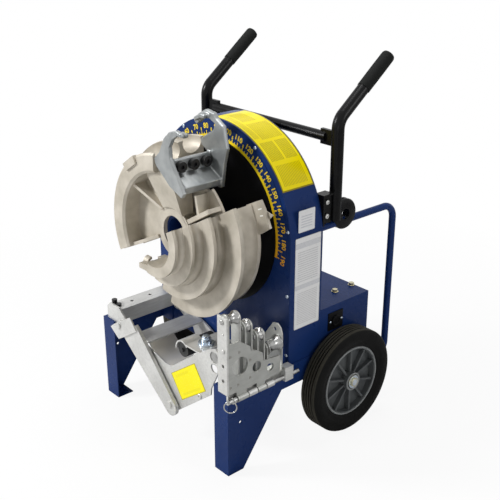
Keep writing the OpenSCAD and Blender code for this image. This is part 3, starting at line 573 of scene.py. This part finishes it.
class Palette:
    """Builds each finish once and hands out its material."""

    def __init__(self) -> None:
        """Start with nothing built."""
        self.made: dict[str, Material] = {}

    def material(self, finish: Finish) -> Material:
        """Give a finish's material, which is made at the first call.

        Args:
            finish: The finish.

        Returns:
            Its material.
        """
        if finish.name not in self.made:
            self.made[finish.name] = finish.build()
        return self.made[finish.name]

    def dress_nodes(self) -> None:
        """Give every CAD node its finish."""
        for finish, names in NODE_FINISHES.items():
            for name in names:
                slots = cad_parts[name].data.materials
                slots.clear()
                slots.append(self.material(finish))
        log.info("finishes on %d CAD nodes", sum(len(names) for names in NODE_FINISHES.values()))


def stand(
    name: str, data: bpy.types.ID, place: Sequence[float] = (0, 0, 0), way: Union[Vector, None] = None,
) -> bpy.types.Object:
    """Make an object and link it to the scene.

    Args:
        name: The object's name.
        data: Its mesh, curve, lamp or camera.
        place: Where it stands, in metres.
        way: Where a lamp or a camera looks.

    Returns:
        The object.
    """
    made = bpy.data.objects.new(name, data)
    made.location = place
    if way is not None:
        made.rotation_mode = "QUATERNION"
        made.rotation_quaternion = way.to_track_quat("-Z", "Y")
    bpy.context.scene.collection.objects.link(made)
    return made


def to_data(mesh: Mesh, name: str) -> bpy.types.Mesh:
    """Turn a bmesh into mesh data and free it.

    Args:
        mesh: The bmesh.
        name: The data's name.

    Returns:
        The mesh data.
    """
    data = bpy.data.meshes.new(name)
    mesh.to_mesh(data)
    mesh.free()
    return data


class Bench:
    """Turns a bmesh into a finished piece that rides on a body."""

    def __init__(self, palette: Palette) -> None:
        """Keep the palette that its pieces take their materials from."""
        self.palette = palette

    def finish(
        self, mesh: Mesh, name: str, finish: Finish, body: Body, stands_for: Iterable[str] = (),
        crease: float = 32.0, recalc: bool = True,
    ) -> None:
        """Make an object of a bmesh, smooth it, dress it and let it ride.

        Args:
            mesh: The shape in the part's frame, in metres.
            name: The piece's name.
            finish: Its finish.
            body: The body that it moves with.
            stands_for: CAD nodes that it replaces.
            crease: Angle in degrees above which an edge stays sharp.
            recalc: Whether the normals are turned outwards first.
        """
        bmesh.ops.remove_doubles(mesh, verts=mesh.verts, dist=1e-6)
        if recalc:
            bmesh.ops.recalc_face_normals(mesh, faces=mesh.faces)
        data = to_data(mesh, name)
        data.shade_smooth()
        data.set_sharp_from_angle(angle=math.radians(crease))
        data.materials.append(self.palette.material(finish))
        piece = stand(name, data)
        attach(piece, body.value)
        nodes = tuple(stands_for)
        if nodes:
            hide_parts(*nodes)
        log.info("piece %s rides on %s", name, body.value)


def lathe(mesh: Mesh, profile: Sequence[Pair], place: Matrix, steps: int = 48) -> None:
    """Turn a profile about Z and put it in place.

    Args:
        mesh: Takes the shape.
        profile: Radius and height of each point in millimetres, from one end to the other.
        place: Where the shape goes.
        steps: Steps round the axis.
    """
    known = set(mesh.verts)
    verts = [mesh.verts.new((radius / MM_PER_M, 0, height / MM_PER_M)) for radius, height in profile]
    edges = [mesh.edges.new(pair) for pair in zip(verts, verts[1:])]
    bmesh.ops.spin(
        mesh, geom=verts + edges, cent=(0, 0, 0), axis=(0, 0, 1), angle=math.tau, steps=steps, use_merge=True,
    )
    bmesh.ops.transform(mesh, matrix=place, verts=[vert for vert in mesh.verts if vert not in known])


def block(mesh: Mesh, size: Point, place: Matrix, bevel: float = 0.0) -> None:
    """Add a box with rounded edges.

    Args:
        mesh: Takes the shape.
        size: Its sides in millimetres.
        place: Where its centre goes.
        bevel: Radius of its edges in millimetres.
    """
    scale = Matrix.Diagonal((*(side / MM_PER_M for side in size), 1))
    made = bmesh.ops.create_cube(mesh, size=1.0, matrix=place @ scale)
    if bevel:
        edges = list({edge for vert in made["verts"] for edge in vert.link_edges})
        bmesh.ops.bevel(
            mesh, geom=edges, offset=bevel / MM_PER_M, segments=2, profile=0.5, affect="EDGES", material=-1,
            clamp_overlap=True,
        )


def facing(place: Vector, way: Sequence[float]) -> Matrix:
    """Give the frame at a place whose Z points a given way."""
    return Matrix.Translation(place) @ Vector(way).normalized().to_track_quat("Z", "Y").to_matrix().to_4x4()


def about(axis: str, degrees: float) -> Matrix:
    """Give a turn about X, Y or Z by an angle in degrees."""
    return Matrix.Rotation(math.radians(degrees), 4, axis)


@dataclass
class Assembly:
    """A group of pieces, which holds its sizes and makes its pieces on a bench."""

    bench: Bench


@dataclass
class CastSkin(Assembly):
    """A casting's rounded skin over its solid: edges and corners are eased as in a mould."""

    node: str
    piece: str
    finish: Finish
    body: Body
    voxel: float = 1.8
    passes: int = 3

    def build(self) -> None:
        """Copy the solid, remesh it evenly and ease it."""
        mesh = bmesh.new()
        mesh.from_mesh(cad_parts[self.node].data)
        bmesh.ops.remove_doubles(mesh, verts=mesh.verts, dist=2e-6)
        holder = stand("source", to_data(mesh, "source"))
        remesh = holder.modifiers.new("even", "REMESH")
        remesh.mode = "VOXEL"
        remesh.voxel_size = self.voxel / MM_PER_M
        remesh.adaptivity = 0.0
        smooth = holder.modifiers.new("ease", "SMOOTH")
        smooth.factor = 0.5
        smooth.iterations = self.passes
        graph = bpy.context.evaluated_depsgraph_get()
        mesh = bmesh.new()
        mesh.from_mesh(bpy.data.meshes.new_from_object(holder.evaluated_get(graph)))
        bpy.data.objects.remove(holder)
        self.bench.finish(mesh, self.piece, self.finish, self.body, (self.node,), crease=75, recalc=False)


@dataclass
class Dial(Assembly):
    """The printed scale round the black facing: an arc, its ticks and its numbers.

    A tick is the step of the numbers that it stands at, its length and its width.
    """

    arc: Pair = (-34.0, 100.2)
    line: Pair = (228.0, 236.5)
    first: int = 60
    last: int = 190
    first_clock: float = -31.0
    pitch: float = 10.03
    face: float = FRONT_Y - 1.2
    tick_step: float = 2.5
    ticks: tuple[Point, ...] = ((10, 9.0, 3.0), (5, 7.0, 3.0), (2.5, 4.2, 2.2))
    number_radius: float = 257.0
    number_height: float = 14.0
    half_radius: float = 248.5
    half_height: float = 7.5
    digit_share: float = 0.70
    digit_depth: float = 0.15
    digit_weight: float = 0.55
    lift: float = 0.2

    def clock(self, number: float) -> float:
        """Give the clockwise angle at which a number stands."""
        return self.first_clock + (number - self.first) / 10 * self.pitch

    def radial(self, radius: float, clock: float) -> Matrix:
        """Give the frame at a place on the dial whose Y points outwards and whose Z points to the front."""
        return Matrix.Translation(on_dial(radius, clock, self.face)) @ about("Y", clock) @ about("X", 90)

    def build_line(self) -> None:
        """Make the arc and its ticks in one piece."""
        mesh = bmesh.new()
        start, end = self.arc
        verts = [mesh.verts.new(on_dial(radius, start, self.face - 0.1)) for radius in self.line]
        edge = mesh.edges.new(verts)
        bmesh.ops.spin(
            mesh, geom=verts + [edge], cent=at(0, self.face, AXIS_Z), axis=BACKWARD,
            angle=math.radians(end - start), steps=90,
        )
        bmesh.ops.solidify(mesh, geom=mesh.faces[:], thickness=self.lift / MM_PER_M)
        for step in range(int((self.last - self.first) / self.tick_step) + 1):
            number = self.first + step * self.tick_step
            length, width = next((long, wide) for every, long, wide in self.ticks if number % every == 0)
            block(mesh, (width, length, 0.3), self.radial(self.line[1] + length / 2 - 0.3, self.clock(number)))
        self.bench.finish(mesh, "dial_line", DIAL_INK, Body.CHASSIS)

    def digits(self, text: str, clock: float, radius: float, height: float) -> bpy.types.Mesh:
        """Write one number as a mesh in its place.

        Args:
            text: Its digits.
            clock: Its clockwise angle in degrees.
            radius: Radius of its middle in millimetres.
            height: Its height in millimetres.

        Returns:
            The mesh data.
        """
        curve = bpy.data.curves.new("digits", "FONT")
        curve.body = text
        curve.size = height / self.digit_share / MM_PER_M
        curve.align_x = "CENTER"
        curve.align_y = "CENTER"
        curve.extrude = self.digit_depth / MM_PER_M
        curve.offset = self.digit_weight / MM_PER_M
        curve.resolution_u = 3
        letters = stand("digits", curve)
        graph = bpy.context.evaluated_depsgraph_get()
        data = bpy.data.meshes.new_from_object(letters.evaluated_get(graph))
        bpy.data.objects.remove(letters)
        data.transform(self.radial(radius, clock) @ Matrix.Translation((0, 0, self.lift / MM_PER_M)))
        return data

    def build(self) -> None:
        """Make the scale, with all its numbers in one piece."""
        self.build_line()
        mesh = bmesh.new()
        for number in range(self.first, self.last + 1, 10):
            mesh.from_mesh(self.digits(str(number), self.clock(number), self.number_radius, self.number_height))
        for number in range(self.first + 5, self.last, 10):
            mesh.from_mesh(self.digits("5", self.clock(number), self.half_radius, self.half_height))
        self.bench.finish(mesh, "dial_numbers", DIAL_INK, Body.CHASSIS)


@dataclass
class Sheets(Assembly):
    """The plain printed sheets on the band, the housing's side and the cradle.

    A sheet on the side is its name, its print, and depth and height of its lower front and upper rear corners.
    """

    thick: float = 0.35
    band_arc: Pair = (-5.0, 61.0)
    band_depth: Pair = (217.5, 327.0)
    sides: tuple[tuple[str, Finish, Pair, Pair], ...] = (
        ("side_card", WHITE_CARD, (240, 618), (298, 677)), ("side_panel", WHITE_PANEL, (231, 347), (323, 604)),
    )
    cradle_centre: Point = (107.0, 10.75, 201.0)
    cradle_size: Pair = (130.0, 79.0)
    cradle_turn: float = -35.6
    corner: float = 3.0

    def lay_uv(self, mesh: Mesh, place: Callable[[Vector], Pair]) -> None:
        """Give every corner of a sheet its place on the print.

        Args:
            mesh: The sheet.
            place: Gives the UV of a point.
        """
        layer = mesh.loops.layers.uv.verify()
        for face in mesh.faces:
            for corner in face.loops:
                corner[layer].uv = place(corner.vert.co)

    def build_band(self) -> None:
        """Wrap the long yellow sheet over the top of the band."""
        mesh = bmesh.new()
        axis = at(0, 0, AXIS_Z)
        first, last = self.band_arc
        verts = [mesh.verts.new(on_dial(HALF + 0.1, first, y)) for y in self.band_depth]
        edge = mesh.edges.new(verts)
        bmesh.ops.spin(
            mesh, geom=verts + [edge], cent=axis, axis=BACKWARD, angle=math.radians(last - first), steps=64,
        )
        bmesh.ops.recalc_face_normals(mesh, faces=mesh.faces)
        if sum(face.normal.dot(face.calc_center_median() - axis) for face in mesh.faces) < 0:
            bmesh.ops.reverse_faces(mesh, faces=mesh.faces)
        bmesh.ops.solidify(mesh, geom=mesh.faces[:], thickness=-self.thick / MM_PER_M)
        low, high = (at(0, y, 0).y for y in self.band_depth)

        def place(point: Vector) -> Pair:
            """Give the sheet's UV: along the arc, then from the front to the back."""
            clock = math.degrees(math.atan2(point.x - axis.x, point.z - axis.z))
            return (clock - first) / (last - first), (point.y - low) / (high - low)

        self.lay_uv(mesh, place)
        self.bench.finish(mesh, "band_sheet", BAND_SHEET, Body.CHASSIS)

    def build_sides(self) -> None:
        """Lay the flat sheets on the housing's right side."""
        for name, finish, low, high in self.sides:
            mesh = bmesh.new()
            middle = at(HALF + self.thick / 2 + 0.05, (low[0] + high[0]) / 2, (low[1] + high[1]) / 2)
            block(mesh, (self.thick, high[0] - low[0], high[1] - low[1]), Matrix.Translation(middle))
            edges = [edge for edge in mesh.edges if abs(edge.verts[0].co.x - edge.verts[1].co.x) > 1e-6]
            bmesh.ops.bevel(
                mesh, geom=edges, offset=self.corner / MM_PER_M, segments=4, profile=0.5, affect="EDGES", material=-1,
            )
            start = at(0, *low)
            size = at(0, *high) - start
            self.lay_uv(mesh, lambda p: ((p.y - start.y) / size.y, (p.z - start.z) / size.z))
            self.bench.finish(mesh, name, finish, Body.CHASSIS)

    def build_cradle(self) -> None:
        """Lay the yellow sheet on the cradle's front plate."""
        mesh = bmesh.new()
        width, height = self.cradle_size
        place = Matrix.Translation(at(*self.cradle_centre)) @ about("Y", self.cradle_turn)
        block(mesh, (width, self.thick, height), place)
        back = place.inverted()
        across, up = MM_PER_M / width, MM_PER_M / height
        self.lay_uv(mesh, lambda p: ((back @ p).x * across + 0.5, (back @ p).z * up + 0.5))
        self.bench.finish(mesh, "cradle_sheet", CRADLE_SHEET, Body.CRADLE)

    def build(self) -> None:
        """Make all the sheets."""
        self.build_band()
        self.build_sides()
        self.build_cradle()


@dataclass
class Grips(Assembly):
    """Foam grips with rounded ends and a slight swell."""

    upright_x: float = HALF - 16.7
    bend_y: float = 390.0
    bend_z: float = 858.0
    bend_r: float = 45.0
    slope: float = 38.3
    start: float = 90.0
    length: float = 122.0
    bore: float = 16.9
    radius: float = 18.2

    def build(self) -> None:
        """Turn both grips about their tubes."""
        bend = math.radians(90 - self.slope)
        foot_y = self.bend_y + self.bend_r * (1 - math.cos(bend))
        foot_z = self.bend_z + self.bend_r * math.sin(bend)
        way = (0, math.sin(bend), math.cos(bend))
        r, end = self.radius, self.length
        profile = [
            (self.bore, 0.3), (r - 0.8, 0.3), (r - 0.2, 0.9), (r, 2.0), (r - 0.2, 10), (r + 0.1, 40), (r + 0.2, 70),
            (r, end - 12), (r - 0.3, end - 7), (r - 2.0, end - 3), (r - 5.5, end - 0.9), (r - 10, end - 0.2),
            (0.001, end),
        ]
        for side, name in zip(SIDES, ("left_grip", "right_grip")):
            foot = facing(at(side * self.upright_x, foot_y, foot_z), way)
            mesh = bmesh.new()
            lathe(mesh, profile, foot @ Matrix.Translation((0, 0, self.start / MM_PER_M)), 56)
            self.bench.finish(mesh, name, GRIP_FOAM, Body.CHASSIS, ("hand_grips",), crease=50)


@dataclass(frozen=True)
class Head:
    """A domed screw head: its foot, the way it faces, its radius, its height and the radius of its recess."""

    foot: Point
    way: Point
    radius: float
    height: float
    recess: float = 0.0

    def add(self, mesh: Mesh) -> None:
        """Turn the head, with a round recess in its top if it has one.

        Args:
            mesh: Takes the shape.
        """
        radius, height, recess = self.radius, self.height, self.recess
        foot = -0.2
        profile = [
            (0.001, foot), (radius, foot), (radius, height * 0.3), (radius * 0.93, height * 0.6),
            (radius * 0.74, height * 0.88),
        ]
        if recess:
            profile += [
                (recess * 1.15, height), (recess, height * 0.9), (recess * 0.85, height * 0.35),
                (0.001, height * 0.3),
            ]
        else:
            profile += [(radius * 0.4, height * 0.99), (0.001, height)]
        lathe(mesh, profile, facing(at(*self.foot), self.way), 28)


@dataclass
class Heads(Assembly):
    """One piece of several heads, on one body, in place of some CAD nodes."""

    name: str
    finish: Finish
    heads: Iterable[Head]
    body: Body = Body.CHASSIS
    stands_for: tuple[str, ...] = ()

    def build(self) -> None:
        """Make the piece."""
        mesh = bmesh.new()
        for head in self.heads:
            head.add(mesh)
        self.bench.finish(mesh, self.name, self.finish, self.body, self.stands_for)


@dataclass
class Fasteners(Assembly):
    """Domed heads on the front plate, the roller unit, the brackets, the inlet and the cradle."""

    rim_inset: float = 6.3
    rim_clock: float = 32.4
    front_places: Pairs = ((HALF - 10, AXIS_Z + 40), (HALF - 9, AXIS_Z - 137), (HALF - 9, 275.0))
    unit: tuple[Head, ...] = (
        Head((286, -14.0, 422), FORWARD, 3.2, 2.2), Head((286, -14.0, 376), FORWARD, 6.6, 3.6),
    )
    bracket_x: float = 272.2
    bracket_places: Pairs = ((351.7, 635), (351.7, 673))
    cradle: tuple[Head, ...] = (Head((157, 11, 180), FORWARD, 8.0, 4.6, 4.0),)
    inlet_y: Pair = (367.7, 410.7)
    inlet_z: float = 326.0
    inlet_ring: Pairs = (
        (11.5, 0.0), (15.2, 0.0), (15.2, 1.2), (14.4, 2.0), (12.4, 2.0), (11.5, 1.2), (11.5, 0.0),
    )
    axle_x: float = 282.0
    axle_radius: float = 5.0
    axles: tuple[tuple[float, float, float, float], ...] = (
        (-14.0, 33.0, 455, 7.2), (46.0, 71.0, 420, 9), (87.0, 113.0, 381, 9), (121.0, 176.0, 335, 9),
    )

    def build_front(self) -> None:
        """Make the eight heads of the front plate."""
        turn, rim = math.radians(self.rim_clock), HALF - self.rim_inset
        places = ((rim * math.sin(turn), AXIS_Z + rim * math.cos(turn)), *self.front_places)
        heads = [Head((side * x, FRONT_Y, z), FORWARD, 5.0, 2.5, 1.6) for side in SIDES for x, z in places]
        Heads(self.bench, "front_heads", BRIGHT_ZINC, heads, stands_for=("front_screws",)).build()

    def build_axles(self) -> None:
        """Make the rollers' axles, each from its front end to its rear end, with their domed heads."""
        mesh = bmesh.new()
        for first, last, z, radius in self.axles:
            foot, length = (self.axle_x, first, z), last - first
            rod = [(0.01, 0.0), (self.axle_radius, 0.0), (self.axle_radius, length), (0.01, length)]
            lathe(mesh, rod, facing(at(*foot), BACKWARD), 28)
            Head(foot, FORWARD, radius, 3.6).add(mesh)
        self.bench.finish(mesh, "axle_heads", ROLLER_STEEL, Body.ROLLER_UNIT, ("roller_axles",))

    def build_inlet(self) -> None:
        """Make the inlet's two bright heads and its raised collar."""
        heads = [Head((HALF + 4.4, y, self.inlet_z), TO_RIGHT, 3.6, 1.4) for y in self.inlet_y]
        Heads(self.bench, "inlet_heads", BRIGHT_ZINC, heads).build()
        mesh = bmesh.new()
        middle = at(HALF + 5.4, sum(self.inlet_y) / 2, self.inlet_z)
        lathe(mesh, self.inlet_ring, facing(middle, TO_RIGHT))
        self.bench.finish(mesh, "inlet_collar", BLACK_FACE, Body.CHASSIS)

    def build(self) -> None:
        """Make all the heads."""
        self.build_front()
        Heads(self.bench, "unit_heads", ZINC, self.unit, Body.ROLLER_UNIT, ("unit_screws",)).build()
        self.build_axles()
        brackets = [
            Head((side * self.bracket_x, *place), (side, 0, 0), 6.8, 3.4, 2.6)
            for side in SIDES for place in self.bracket_places
        ]
        Heads(self.bench, "bracket_heads", ZINC, brackets).build()
        self.build_inlet()
        Heads(self.bench, "cradle_screw", ZINC, self.cradle, Body.CRADLE).build()


@dataclass
class Marks(Assembly):
    """Plain stamped strokes on the roller unit's outer plate and painted ones on the shoe's lug."""

    plate_x: float = 300.0
    plate_marks: Pairs = ((26, 366), (-3, 362), (62, 331), (62, 281), (22, 275), (-3, 275))
    plate_strokes: Pairs = ((-1.8, 8.0), (1.8, 5.5))
    lug_y: float = 160.0
    lug_radius: float = 247.0
    lug_strokes: Pairs = ((65.5, 15.0), (69.5, 11.0))

    def build_plate(self) -> None:
        """Lay two short strokes at each place on the plate."""
        mesh = bmesh.new()
        for y, z in self.plate_marks:
            for shift, length in self.plate_strokes:
                block(mesh, (0.25, 1.4, length), Matrix.Translation(at(self.plate_x + 0.05, y + shift, z)), 0.05)
        self.bench.finish(mesh, "plate_strokes", DARK_MARK, Body.ROLLER_UNIT)

    def build_lug(self) -> None:
        """Lay two white strokes on the lug."""
        mesh = bmesh.new()
        for clock, length in self.lug_strokes:
            foot = Matrix.Translation(on_dial(self.lug_radius, clock, self.lug_y - 0.1))
            block(mesh, (3.2, length, 0.4), foot @ about("Y", clock) @ about("X", 90), 0.05)
        self.bench.finish(mesh, "lug_strokes", WHITE_INK, Body.SHOE)

    def build(self) -> None:
        """Make all the strokes."""
        self.build_plate()
        self.build_lug()


@dataclass
class Wheel(Assembly):
    """A wheel's pieces on one side: a tyre with a ribbed tread, the rim's grey lip, the hub's collar and a washer.

    A ring is the end of its piece's name, its finish, its steps and its closed profile. A profile's points are
    radius and distance from the tyre's inner face.
    """

    side: int
    name: str
    body: Body
    inner: float = 286.6
    width: float = 59.0
    radius: float = 152.4
    rim: float = 102.6
    shoulder: float = 7.5
    ridges: int = 5
    rings: tuple[tuple[str, Finish, int, Pairs], ...] = (
        ("rim_lip", RIM_GREY, 96, (
            (97.4, 49), (97.4, 52.2), (98.2, 53.4), (99.6, 54.0), (101.0, 53.5), (102.2, 52.2), (102.5, 49.6),
            (97.4, 49),
        )),
        ("hub_collar", RIM_GREY, 48, (
            (21.5, 56.2), (26.4, 56.2), (26.4, 57.6), (25.4, 58.6), (22.6, 58.6), (21.5, 57.6), (21.5, 56.2),
        )),
        ("washer", BRIGHT_ZINC, 48, (
            (10.0, 59.4), (18.6, 59.4), (18.8, 59.8), (18.4, 60.2), (10.0, 60.2), (10.0, 59.4),
        )),
    )

    def tyre(self) -> Pairs:
        """Lay out the tyre: bead, wall with a shallow step, shoulder and grooved tread.

        Returns:
            Its closed profile.
        """
        rim, edge = self.rim, self.radius
        wall = (
            (rim, 8), (rim + 2, 6), (rim + 9, 3.6), (rim + 15, 3.0), (rim + 16.5, 2.2), (edge - 24, 0.5),
            (edge - 12, 1.2), (edge - 5, 3.0), (edge - 1.4, 5.2), (edge, self.shoulder),
        )
        groove = ((edge, -2.1), (edge - 4.6, -1.4), (edge - 4.6, 1.4), (edge, 2.1))
        pitch = (self.width - 2 * self.shoulder) / self.ridges
        tread = ((r, self.shoulder + pitch * k + x) for k in range(1, self.ridges) for r, x in groove)
        return (*wall, *tread, *((r, self.width - x) for r, x in reversed(wall)), wall[0])

    def build(self) -> None:
        """Turn the tyre and the rings about the axle."""
        place = facing(at(self.side * self.inner, *AXLE), (self.side, 0, 0))
        tyre = ("tyre_ribbed", TYRE_RUBBER, 96, self.tyre())
        for part, finish, steps, profile in (tyre, *self.rings):
            mesh = bmesh.new()
            lathe(mesh, profile, place, steps)
            stands_for = (self.name + "_tyre",) if profile is tyre[3] else ()
            self.bench.finish(mesh, f"{self.name}_{part}", finish, self.body, stands_for, crease=38)


@dataclass
class ClampBands(Assembly):
    """The glossy bands of the clamps at the foot of each upright."""

    centre: Point = (257.4, 427.0, 622.0)
    outer: float = 42.0
    inner: float = 15.0
    width: float = 10.6
    offsets: Pair = (-6.4, 6.4)

    def build(self) -> None:
        """Turn two rounded bands on each side."""
        half = self.width / 2
        outer = self.outer
        rise = [(self.inner, -half), (outer - 5, -half), (outer - 1.6, 1.4 - half), (outer, 3.8 - half)]
        band = rise + [(r, -x) for r, x in reversed(rise)] + rise[:1]
        across, back, up = self.centre
        mesh = bmesh.new()
        for side in SIDES:
            for offset in self.offsets:
                lathe(mesh, band, facing(at(side * across + offset, back, up), (side, 0, 0)), 56)
        self.bench.finish(mesh, "clamp_bands", BLACK_GLOSS, Body.CHASSIS, ("tube_clamps",))


@dataclass(frozen=True)
class Lamp:
    """A soft box: its place, its sides, its power in watts and the point that it faces, in metres."""

    name: str
    place: Point
    size: Pair
    watts: float
    target: Point = (0, 0.05, 0.5)

    def build(self) -> None:
        """Hang the lamp."""
        data = bpy.data.lights.new(self.name, "AREA")
        data.shape = "RECTANGLE"
        data.size, data.size_y = self.size
        data.energy = self.watts
        stand(self.name, data, self.place, Vector(self.target) - Vector(self.place))


LAMPS = (
    Lamp("key", (-1.7, -2.5, 2.2), (0.7, 0.7), 104.0),
    Lamp("top", (0.0, 0.3, 3.0), (1.1, 1.1), 36.0),
    Lamp("side", (2.6, 0.9, 1.6), (0.7, 1.2), 14.0),
    Lamp("low", (2.0, -2.0, 0.7), (0.5, 0.5), 5.0, (0.1, -0.1, 0.3)),
)


@dataclass
class Studio:
    """Camera, white surroundings, floor and lamps."""

    eye: Point = (1733.3, -1207.2, 1417.2)
    azimuth: float = 48.5
    elevation: float = 22.4
    lens: float = 62.9
    world: float = 0.13
    floor_half: float = 4.0
    floor_drop: float = -0.0005
    floor_colour: tuple[float, float, float, float] = (0.86, 0.86, 0.86, 1)
    floor_reach: Pair = (0.6, 1.8)
    floor_glow: Pair = (0.91, 1.0)

    def build_camera(self) -> None:
        """Stand the camera where the photograph was taken."""
        data = bpy.data.cameras.new("camera")
        data.lens = self.lens
        data.sensor_width = 36.0
        data.sensor_fit = "HORIZONTAL"
        data.clip_start, data.clip_end = 0.05, 60.0
        turn, rise = math.radians(self.azimuth), math.radians(self.elevation)
        back = Vector((math.sin(turn) * math.cos(rise), -math.cos(turn) * math.cos(rise), math.sin(rise)))
        bpy.context.scene.camera = stand("camera", data, at(*self.eye), -back)

    def build_world(self) -> None:
        """Surround the part with plain light that the camera, glass and gloss see as white."""
        graph = Graph(bpy.data.worlds.new("studio"), "Background")
        graph.fill(graph.surface, {"Color": WHITE, "Strength": self.world})
        rays = (graph.add("LightPath", {}, f"Is {ray} Ray") for ray in ("Camera", "Transmission", "Glossy"))
        seen = reduce(partial(graph.math, "MAXIMUM"), rays)
        graph.blend(seen, graph.add("Background", {"Color": WHITE, "Strength": 1.0}), "World Output")
        bpy.context.scene.world = graph.owner

    def build_floor(self) -> None:
        """Lay the pale floor, which looks white to the camera and keeps a soft shadow."""
        mesh = bmesh.new()
        bmesh.ops.create_grid(mesh, x_segments=1, y_segments=1, size=self.floor_half)
        floor = stand("floor", to_data(mesh, "floor"), (0, 0, self.floor_drop))
        graph = Graph(bpy.data.materials.new("pale floor"))
        graph.fill(graph.surface, {"Base Color": self.floor_colour, "Roughness": 0.9, "Specular IOR Level": 0.1})
        place = graph.split("Object")
        share = graph.span(graph.reach(place["X"], place["Y"]), self.floor_reach, self.floor_glow)
        seen = graph.product(graph.add("LightPath", {}, "Is Camera Ray"), share)
        graph.blend(seen, graph.add("Emission", {"Strength": 1.0}), "Material Output")
        floor.data.materials.append(graph.owner)

    def build(self) -> None:
        """Set up the studio."""
        bpy.context.scene.view_settings.view_transform = "Standard"
        self.build_camera()
        self.build_world()
        self.build_floor()
        for lamp in LAMPS:
            lamp.build()
        log.info("studio ready")


def main() -> None:
    """Build the scene."""
    logging.basicConfig(level=logging.INFO, format="%(message)s")
    Studio().build()
    palette = Palette()
    palette.dress_nodes()
    bench = Bench(palette)
    groups = (
        CastSkin(bench, "hook_saddle", "hook_skin", CAST_HOOK, Body.SHOE), Dial(bench), Sheets(bench), Grips(bench),
        Fasteners(bench), Marks(bench), Wheel(bench, -1, "left", Body.LEFT_WHEEL),
        Wheel(bench, 1, "right", Body.RIGHT_WHEEL), ClampBands(bench),
    )
    for group in groups:
        group.build()


if __name__ == "__main__":
    main()
